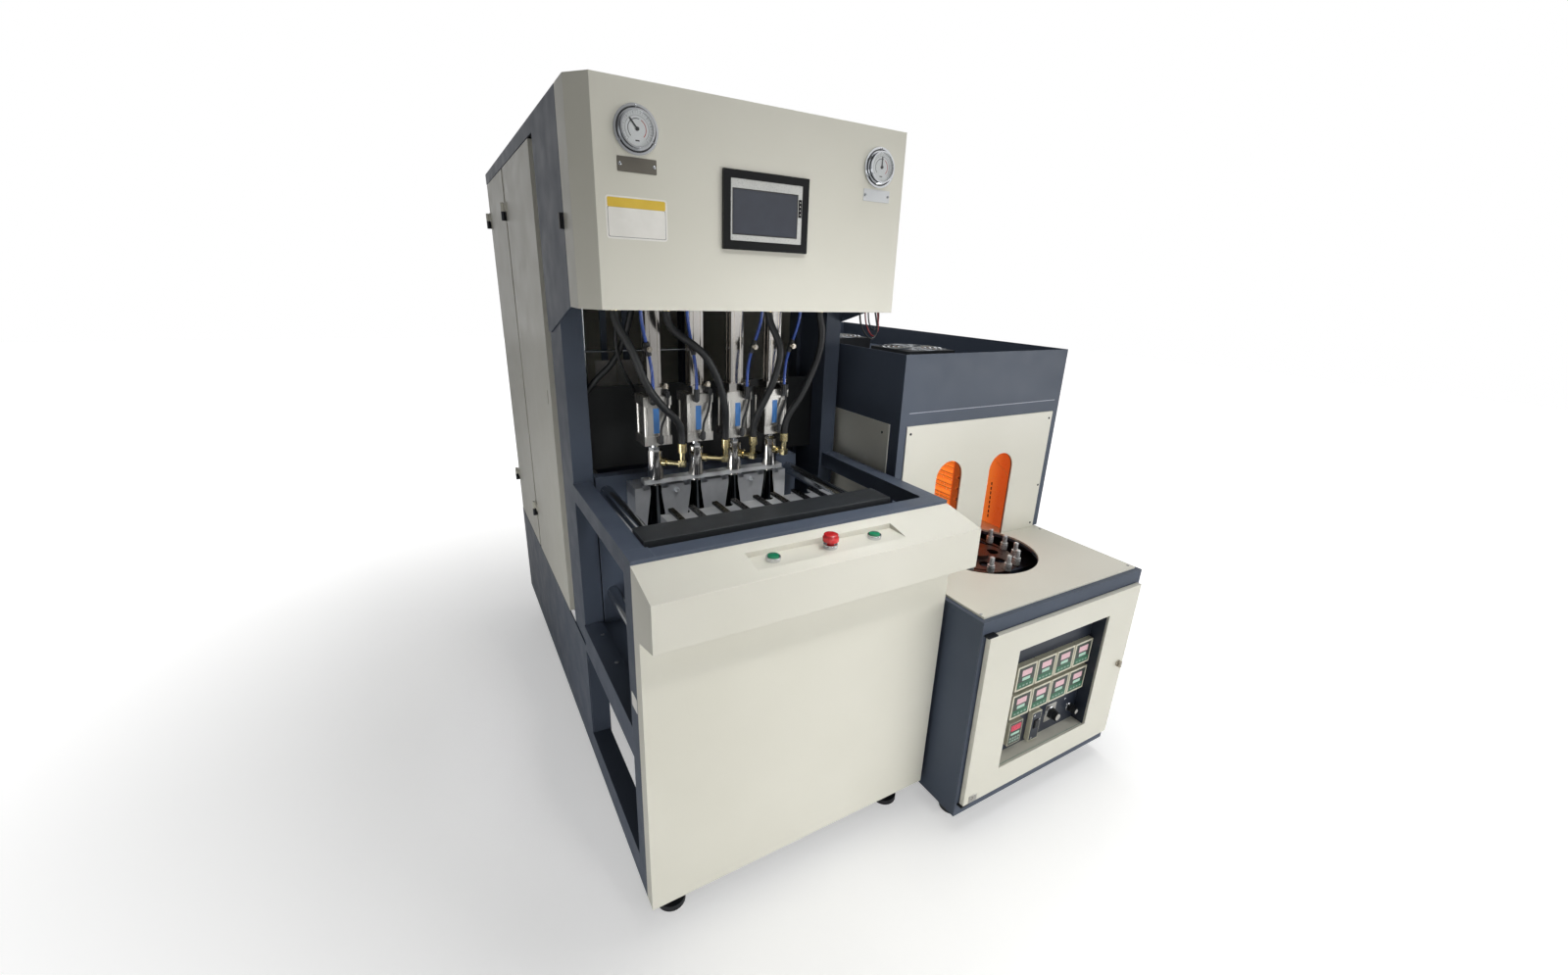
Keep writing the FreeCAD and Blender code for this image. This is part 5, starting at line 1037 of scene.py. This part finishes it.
# %% Make the display films
for name, code, glow in (("pink_reading", "#d8b2b9", 0.06), ("mint_reading", "#a9cdbb", 0.06),
                         ("red_reading", "#c23c52", 0.12)):
    moulded(name, code, code, 0.25, 2.0, 0.00001, Emission_Color=linear(code),
            Emission_Strength=glow)
moulded("green_key_band", "#2c6b4d", "#255d42", 0.4, 2.0, 0.00001)
moulded("controller_face", "#3a423c", "#333a35", 0.35, 2.0, 0.00001)
moulded("key_grey", "#8fa79a", "#869d91", 0.4, 2.0, 0.00001)
print("all finishes:", len(finishes))

# %% Lay out the instrument faces
TRAY_Y = -0.8875
FACE_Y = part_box("instruments")[0].y
PRINTED = 0.0004
layers = {}


def field(finish, x, z, wide, high, lift=PRINTED, thick=0.3, edge=0.1):
    """Adds a flat field to its finish's layer, lift metres before the faces."""
    layers.setdefault(finish, []).append(
        plate((x, FACE_Y - lift, z), FRONT, wide, high, thick, 1, edge))


for x, z in [(0.3065 + 0.083 * k, z) for z in (0.432, 0.338) for k in range(4)]:
    field("controller_face", x, z, 67, 68, 0, 0.4)
    field("pink_reading", x, z + 0.0155, 40, 19)
    field("mint_reading", x, z - 0.0045, 32, 10)
    field("green_key_band", x, z - 0.0225, 63, 19)
    for k in range(4):
        field("key_grey", x - 0.021 + 0.014 * k, z - 0.025, 8, 5, PRINTED + 0.0003, 0.5, 0.2)
COUNTER_X, COUNTER_Z = 0.304, 0.242
field("controller_face", COUNTER_X, COUNTER_Z, 50, 72, 0, 0.4)
field("red_reading", COUNTER_X, COUNTER_Z + 0.020, 40, 20)
field("mint_reading", COUNTER_X, COUNTER_Z - 0.001, 36, 8)
for row in range(2):
    for k in range(4):
        field("key_grey", COUNTER_X - 0.0165 + 0.011 * k, COUNTER_Z - 0.016 - 0.010 * row, 8, 6,
              PRINTED, 0.5, 0.2)
for finish, fields in layers.items():
    shape("instrument_" + finish, collect(fields), finish, "heater_leaf")
shape("instrument_sheet", plate((0.4095, TRAY_Y, 0.3635), FRONT, 380, 376, 0.8, 1, 0.2),
      "instrument_blue_grey", "heater_leaf")
plates("heater_leaf", (
    ("window_lining", "instrument_blue_grey", (0.5998, -0.9075, 0.3635), LEFT, 38, 376, 0.8,
     0.5, 0.2),
    ("window_sill_line", "key_grey", (0.4095, -0.9225, 0.1752), TOP, 378, 1.6, 0.5, 0.3, 0.1)))
print("layers on the instruments:", len(layers))

# %% [markdown]
# ## Switch plate and knobs
#
# Below the controllers are a rocker switch on a metal plate, a selector knob and a speed knob
# on its scale. Each knob gets a bright cap and a chromed collar.

# %% Fit the switch plate and knob trims
ROCKER_X = 0.393
SWITCH_Y = FACE_Y - 0.0008
BACKING_Y = TRAY_Y - 0.0008
plates("heater_leaf", (
    ("switch_plate", "instrument_blue_grey", (ROCKER_X, FACE_Y, 0.232), FRONT, 36, 94, 0.8,
     1.5, 0.3),
    ("rocker_frame", "black_glossy_abs", (ROCKER_X, SWITCH_Y, 0.240), FRONT, 20, 30, 2.5, 1.5,
     0.8),
    ("rocker_cap", "black_nylon", (ROCKER_X, SWITCH_Y - 0.0025, 0.240), FRONT, 14, 23, 2.2, 1.0,
     1.2),
    ("knob_backing_plate", "anodised_aluminium", (0.479, BACKING_Y, 0.237), FRONT, 48, 60, 1.0,
     2, 0.3)))
switch_screws = ((0.380, SWITCH_Y, 0.272), (0.406, SWITCH_Y, 0.252),
                 (0.382, SWITCH_Y, 0.192), (0.5435, BACKING_Y, 0.262),
                 (0.560, BACKING_Y, 0.236))
grown("switch_screws", [(spot, AHEAD) for spot in switch_screws], screws,
      "chrome_plated_steel", "heater_leaf", "chrome", Radius=0.0034, Height=0.002)
for name, body, x, z, radius in (("selector", "selector", 0.479, 0.237, 17),
                                 ("speed", "speed_dial", 0.571, 0.223, 12)):
    knob_cap = ((radius * 0.62, 0), (radius * 0.62, 0.8), (radius * 0.5, 1.3))
    shape(name + "_knob_cap", turned(knob_cap, (x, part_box(name + "_knob")[0].y, z), AHEAD),
          "anodised_aluminium", body, smooth=True)
    collar = ((radius + 2.5, 0), (radius + 2.5, 1.2), (radius + 1.5, 2))
    shape(name + "_knob_collar", turned(collar, (x, TRAY_Y - 0.0018, z), AHEAD, 40),
          "chrome_plated_steel", "heater_leaf", smooth=True)

# %% [markdown]
# ## Panel screws
#
# Sheet panels are held by small dark pan head screws, set back from the corners. Doors that
# swing have none, so only the tunnel's panels and the fixed cover get them.

# %% Screw the panels on
low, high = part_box("tunnel_panels")
panel_screws = [((x, low.y, z), AHEAD)
                for x, z in ((0.121, 1.056), (0.710, 1.056), (0.714, 0.826), (0.119, 0.826),
                             (0.708, 0.690))]
panel_screws += [((x, y, z), (way, 0, 0)) for x, way in ((low.x, -1), (high.x, 1))
                 for y in (-0.47, 0.62) for z in (1.05, 0.72)]
grown("tunnel_panel_screws", panel_screws, screws, "blackened_steel", "machine",
      "black_steel", Radius=0.0036, Height=0.0018)
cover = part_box("cabinet_cover")[1]
cover_screws = []
for z in (0.50, 0.92, 1.34, 1.72):
    cover_screws += [((x, cover.y, z), BEHIND) for x in (-0.69, -0.33, 0.035)]
    cover_screws += [((cover.x, y, z), ACROSS) for y in (-0.09, 0.25, 0.58, 0.91)]
grown("cover_screws", cover_screws, screws, "blackened_steel", "machine", "black_steel",
      Radius=0.0045, Height=0.002)

# %% [markdown]
# ## Fans
#
# Each axial fan has a guard of concentric steel wire, crossed by two long wires that make
# four spokes. A round badge sits in the middle of each.

# %% Weld the fan guards
WIRE = 0.0016
SPOKE = 0.112
guard_x = middle("tunnel_fans").x
fan_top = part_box("tunnel_fans")[1].z
for where, y in (("near", -0.1725), ("far", 0.2875)):
    centre = Vector((guard_x, y, fan_top + 0.002))
    wires = [swept([centre + MM * radius * swing(TOP, turn) for turn in range(0, 361, 8)],
                   WIRE, 8) for radius in (30, 48, 66, 84, 100)]
    wires += [swept([centre - SPOKE * swing(TOP, turn), centre + SPOKE * swing(TOP, turn)],
                    WIRE, 8) for turn in (45, 135)]
    shape("fan_guard_" + where, collect(wires), "ground_bar_steel", "machine", smooth=True)
    shape("fan_badge_" + where, turned(((26, 0), (26, 1.2), (24, 1.8)),
                                       (guard_x, y, fan_top - 0.004), UP, 40),
          "anodised_aluminium", "machine", smooth=True)
    print("guard", where, "has", len(wires), "wires")

# %% [markdown]
# ## Wires
#
# A few thin wires, red and black, hang in a loop below the hood's right end, and a pale flex
# lies on the tunnel's top between its two fans.

# %% Hang the wires
WIRES = {
    "red_wire": ("rubber_red_wire", 0.004, "hanging", (
        (0.044, -0.393, 1.386), (0.046, -0.393, 1.358), (0.054, -0.396, 1.330),
        (0.074, -0.400, 1.304), (0.094, -0.397, 1.326), (0.091, -0.393, 1.358),
        (0.086, -0.393, 1.386))),
    "black_wire": ("air_hose_rubber", 0.005, "hanging", (
        (0.022, -0.399, 1.386), (0.023, -0.399, 1.356), (0.032, -0.405, 1.325),
        (0.060, -0.410, 1.297), (0.084, -0.407, 1.322), (0.079, -0.401, 1.356),
        (0.072, -0.399, 1.386))),
    "short_black_wire": ("air_hose_rubber", 0.004, "hanging", (
        (0.060, -0.386, 1.386), (0.062, -0.386, 1.362), (0.068, -0.386, 1.340),
        (0.083, -0.386, 1.322), (0.098, -0.386, 1.338), (0.100, -0.386, 1.362),
        (0.096, -0.386, 1.386))),
    "pale_flex": ("label_white_vinyl", 0.006, "loose", (
        (0.330, -0.062, 1.222), (0.318, -0.056, 1.204), (0.318, -0.020, 1.199),
        (0.345, 0.050, 1.199), (0.372, 0.120, 1.199), (0.366, 0.168, 1.205),
        (0.352, 0.180, 1.222))),
}
for name, (finish, wide, lay, points) in WIRES.items():
    tube(name, points, wide, finish, stiffness="limp", lay=lay)

# %% [markdown]
# ## Behind the stations
#
# Between the left post and the back plate a black conduit comes down to a small valve, and a
# thinner hose passes behind the first cylinder. Two rails and two mounting plates hang from
# the roof further back in the cabinet and catch some light above the plate's edge.

# %% Add the conduit, the rear hose and the valve
BACK_HOSES = {
    "conduit": (0.015, (
        (-0.575, -0.300, 1.388), (-0.582, -0.288, 1.335), (-0.610, -0.258, 1.247),
        (-0.662, -0.242, 1.197), (-0.697, -0.236, 1.148), (-0.704, -0.232, 1.105),
        (-0.704, -0.230, 1.078))),
    "rear_hose": (0.008, (
        (-0.612, -0.290, 1.388), (-0.614, -0.286, 1.340), (-0.616, -0.280, 1.287),
        (-0.607, -0.276, 1.246), (-0.590, -0.268, 1.208), (-0.570, -0.254, 1.176),
        (-0.560, -0.236, 1.158), (-0.558, -0.214, 1.152))),
}
for name, (wide, points) in BACK_HOSES.items():
    tube(name, points, wide, "air_hose_rubber", "hose_rubber")
VALVE_Z = 1.056
valve = [plate((-0.700, -0.2160, VALVE_Z), FRONT, 40, 42, 26, 3, 1.0),
         turned(((9.5, 0), (9.5, 8), (8.6, 9)), (-0.704, -0.2295, 1.070), UP, 24)]
shape("valve_block", collect(valve), "black_nylon", "machine")
shape("valve_field", plate((-0.694, -0.2422, VALVE_Z), FRONT, 20, 14, 0.4, 1, 0.1),
      "label_blue", "machine")

# %% Hang the rails and the mounting plates
HANGERS_X = (-0.524, -0.454)
for name, places, radius, length in (
        ("cabinet_rails", [((x, 0.0, 0.96), UP) for x in (-0.655, -0.630)], 0.005, 0.8208),
        ("cross_rail", [((-0.688, -0.16, 1.259), ACROSS)], 0.003, 0.30)):
    grown(name, places, rods, "ground_bar_steel", "machine", Radius=radius, Height=length)
for name, finish, y, z, measures in (
        ("mounting_plates", "label_white_vinyl", 0.2, 1.055, (66, 268, 2.0, 3, 0.5)),
        ("plate_hangers", "slate_powder_coat", 0.204, 1.3508, (20, 860, 4.0, 1, 0.5))):
    shape(name, collect(plate((x, y, z), FRONT, *measures) for x in HANGERS_X), finish,
          "machine")

# %% [markdown]
# ## Small fittings
#
# These are the marks of a machine that was folded, bolted and adjusted by hand: a painted
# highlight along the fold above the tunnel's panels, slots and bolts on the bed, a tab on the
# post and a pivot plate under the door. The slots in the reflector's wall are for the lamps'
# ends. Both rows of slots are dark plates, painted shade in their openings, and the reflector's
# crease has a painted highlight.

# %% Add folds, tabs, slots and bolts
LINER_X = 0.6019
SLOPE = ((0, -0.841, -0.541), (0, -0.541, 0.841))
BED_X = -0.706
PIVOT = (0.128, -0.9305, 0.112)
plates("machine", (
    # The pale strip along the fold is a painted highlight.
    ("tunnel_fold", "worn_fold_edge", (0.419, -0.5385, 1.1142), FRONT, 616, 2.2, 0.6, 0.8, 0.2),
    ("post_tab", "label_white_vinyl", (-0.739, -0.742, 0.617), LEFT, 36, 34, 0.8, 2, 0.2)))
pivot = [plate(PIVOT, FRONT, 30, 24, 1.6, 2, 0.4),
         turned(((5, 0), (5, 2.4), (4.2, 3)), (PIVOT[0], -0.9321, PIVOT[2]), AHEAD, 20)]
shape("door_pivot_plate", collect(pivot), "anodised_aluminium", "heater_leaf")
# Dark plates stand for the lamp slots' openings: painted shade.
shape("lamp_end_slots", collect(
    plate((LINER_X, -0.449 + 0.0006 * k, 0.700 + 0.0165 * k), LEFT, 5, 11, 0.3, 1, 0.1)
    for k in range(8)), "dial_print_black", "machine")
# A pale strip on the reflector's crease: a painted highlight.
shape("reflector_crease", plate((LINER_X, -0.4838, 0.8764), SLOPE, 83, 2.0, 0.4, 0.8, 0.1),
      "reflector_crease_highlight", "machine")
# Dark plates stand for the bed's slots: painted shade.
shape("bed_slots", collect(plate((BED_X, y, 0.528), TOP, 9, 64, 0.5, 4, 0.1)
                           for y in (-0.345, -0.455)), "dial_print_black", "machine")
grown("bed_bolts", [((BED_X, y, 0.5285), UP) for y in (-0.330, -0.470)], screws,
      "turned_steel", "machine", "turned_steel", Radius=0.0075, Height=0.005)
grown("table_screws", [((x, y, 0.6750), UP) for x, y in ((0.099, -0.886), (0.722, -0.886),
                                                         (0.722, -0.575))],
      screws, "turned_steel", "machine", "chrome", Radius=0.0036, Height=0.0016)

# %% [markdown]
# ## The room
#
# A pale floor and a white surround, as in a product photograph. The background's white comes
# from what the camera sees of the world and not from stronger lamps, so the paint keeps its
# written colour. In mirrors the surround shows bands, as a row of windows would.

# %% Build the floor
FLOOR = 14
tree, shader, place = begin("floor", "#e4e4e3", Roughness=0.7, Emission_Color=(1, 1, 1, 1))
ray = add(tree, "ShaderNodeLightPath").outputs
mirrored = add(tree, "ShaderNodeMath", {0: ray["Is Glossy Ray"], 1: 0.2}, operation="MULTIPLY")
looked_at = add(tree, "ShaderNodeMath",
                {0: ray["Is Camera Ray"], 1: ray["Is Transmission Ray"]}, operation="MAXIMUM")
seen = add(tree, "ShaderNodeMath", {0: looked_at, 1: mirrored}, operation="MAXIMUM")
away = add(tree, "ShaderNodeVectorMath", {0: place}, operation="LENGTH").outputs["Value"]
glow = add(tree, "ShaderNodeMath", {0: seen, 1: between(tree, away, 0.4, 1.0, 1.2, 3.1)},
           operation="MULTIPLY")
drive(tree, shader, Roughness=between(tree, grain(tree, place, 300), 0.6, 0.75),
      Emission_Strength=glow)
floor = linked("floor", bpy.data.meshes.new("floor"))
floor.data.from_pydata([(-FLOOR, -FLOOR, 0), (FLOOR, -FLOOR, 0), (FLOOR, FLOOR, 0),
                        (-FLOOR, FLOOR, 0)], [], [(0, 1, 2, 3)])
floor.data.materials.append(finishes["floor"])
print("floor:", 2 * FLOOR, "m wide")

# %% Build the surround
world = bpy.data.worlds.new("white surround")
bpy.context.scene.world = world
world.use_nodes = True
tree = world.node_tree
tree.nodes.clear()
ray = add(tree, "ShaderNodeLightPath").outputs
seen = add(tree, "ShaderNodeMath", {0: ray["Is Camera Ray"], 1: ray["Is Transmission Ray"]},
           operation="MAXIMUM")
looking = add(tree, "ShaderNodeTexCoord").outputs["Generated"]
way = add(tree, "ShaderNodeSeparateXYZ", {0: looking}).outputs
plain = between(tree, seen, between(tree, way["X"], 0.03, 0.38, -1.0, 1.0), 1.0, 0.0, 1.0)
heading = add(tree, "ShaderNodeMath", {0: way["Y"], 1: way["X"]}, operation="ARCTAN2")
bands = add(tree, "ShaderNodeMath", {0: heading, 1: 5.0}, operation="MULTIPLY")
wave = add(tree, "ShaderNodeMath", {0: bands}, operation="SINE")
windows = between(tree, wave, 0.16, 0.85, -0.3, 0.4)
total = between(tree, ray["Is Glossy Ray"], plain, windows, 0.0, 1.0)
sky = add(tree, "ShaderNodeBackground", {"Color": (1, 1, 1, 1), "Strength": total})
add(tree, "ShaderNodeOutputWorld", {"Surface": sky})
bpy.context.scene.view_settings.view_transform = "Standard"
print("view transform:", bpy.context.scene.view_settings.view_transform)

# %% [markdown]
# Seven area lamps light the machine. Five stand for windows: three low ones spread wide at
# the front and the right, a small high one and a narrow one at the left. The ceiling lamp
# gives the tops their light, and one behind the machine keeps its back readable.

# %% Stand the lamps
OPEN = 180
LAMPS = {
    "window_low": ((0.6, -3.6, 0.4), (-0.2, -0.8, 0.05), 2.4, 0.6, 8, 74),
    "window_front": ((-2.8, -3.2, 0.7), (-0.6, 0, 0.9), 2.0, 1.2, 10, OPEN),
    "window_right": ((2.5, -2.8, 0.95), (0.5, -0.5, 0.95), 1.8, 0.9, 10, 96),
    "window_high": ((-0.1, -2.1, 3.1), (-0.32, -0.5, 0.9), 0.8, 0.5, 1.4, 28),
    "window_left": ((-3.0, -1.4, 0.3), (-0.72, -0.4, 0.35), 1.2, 0.4, 2.2, 50),
    "ceiling": ((0.7, -0.5, 3.6), (0.4, -0.5, 0), 2.2, 1.6, 52, OPEN),
    "window_back": ((0.8, 4.2, 1.8), (0, 0.6, 0.9), 2.4, 1.8, 26, OPEN),
}
for name, (place, aim, wide, high, watts, spread) in LAMPS.items():
    light = bpy.data.lights.new(name, "AREA")
    light.shape = "RECTANGLE"
    light.size, light.size_y = wide, high
    light.energy = watts
    light.spread = math.radians(spread)
    stand = linked(name, light)
    stand.location = place
    stand.rotation_mode = "QUATERNION"
    stand.rotation_quaternion = (Vector(aim) - Vector(place)).to_track_quat("-Z", "Y")
    stand.visible_glossy = name != "window_low"
print("lamps:", len(LAMPS))
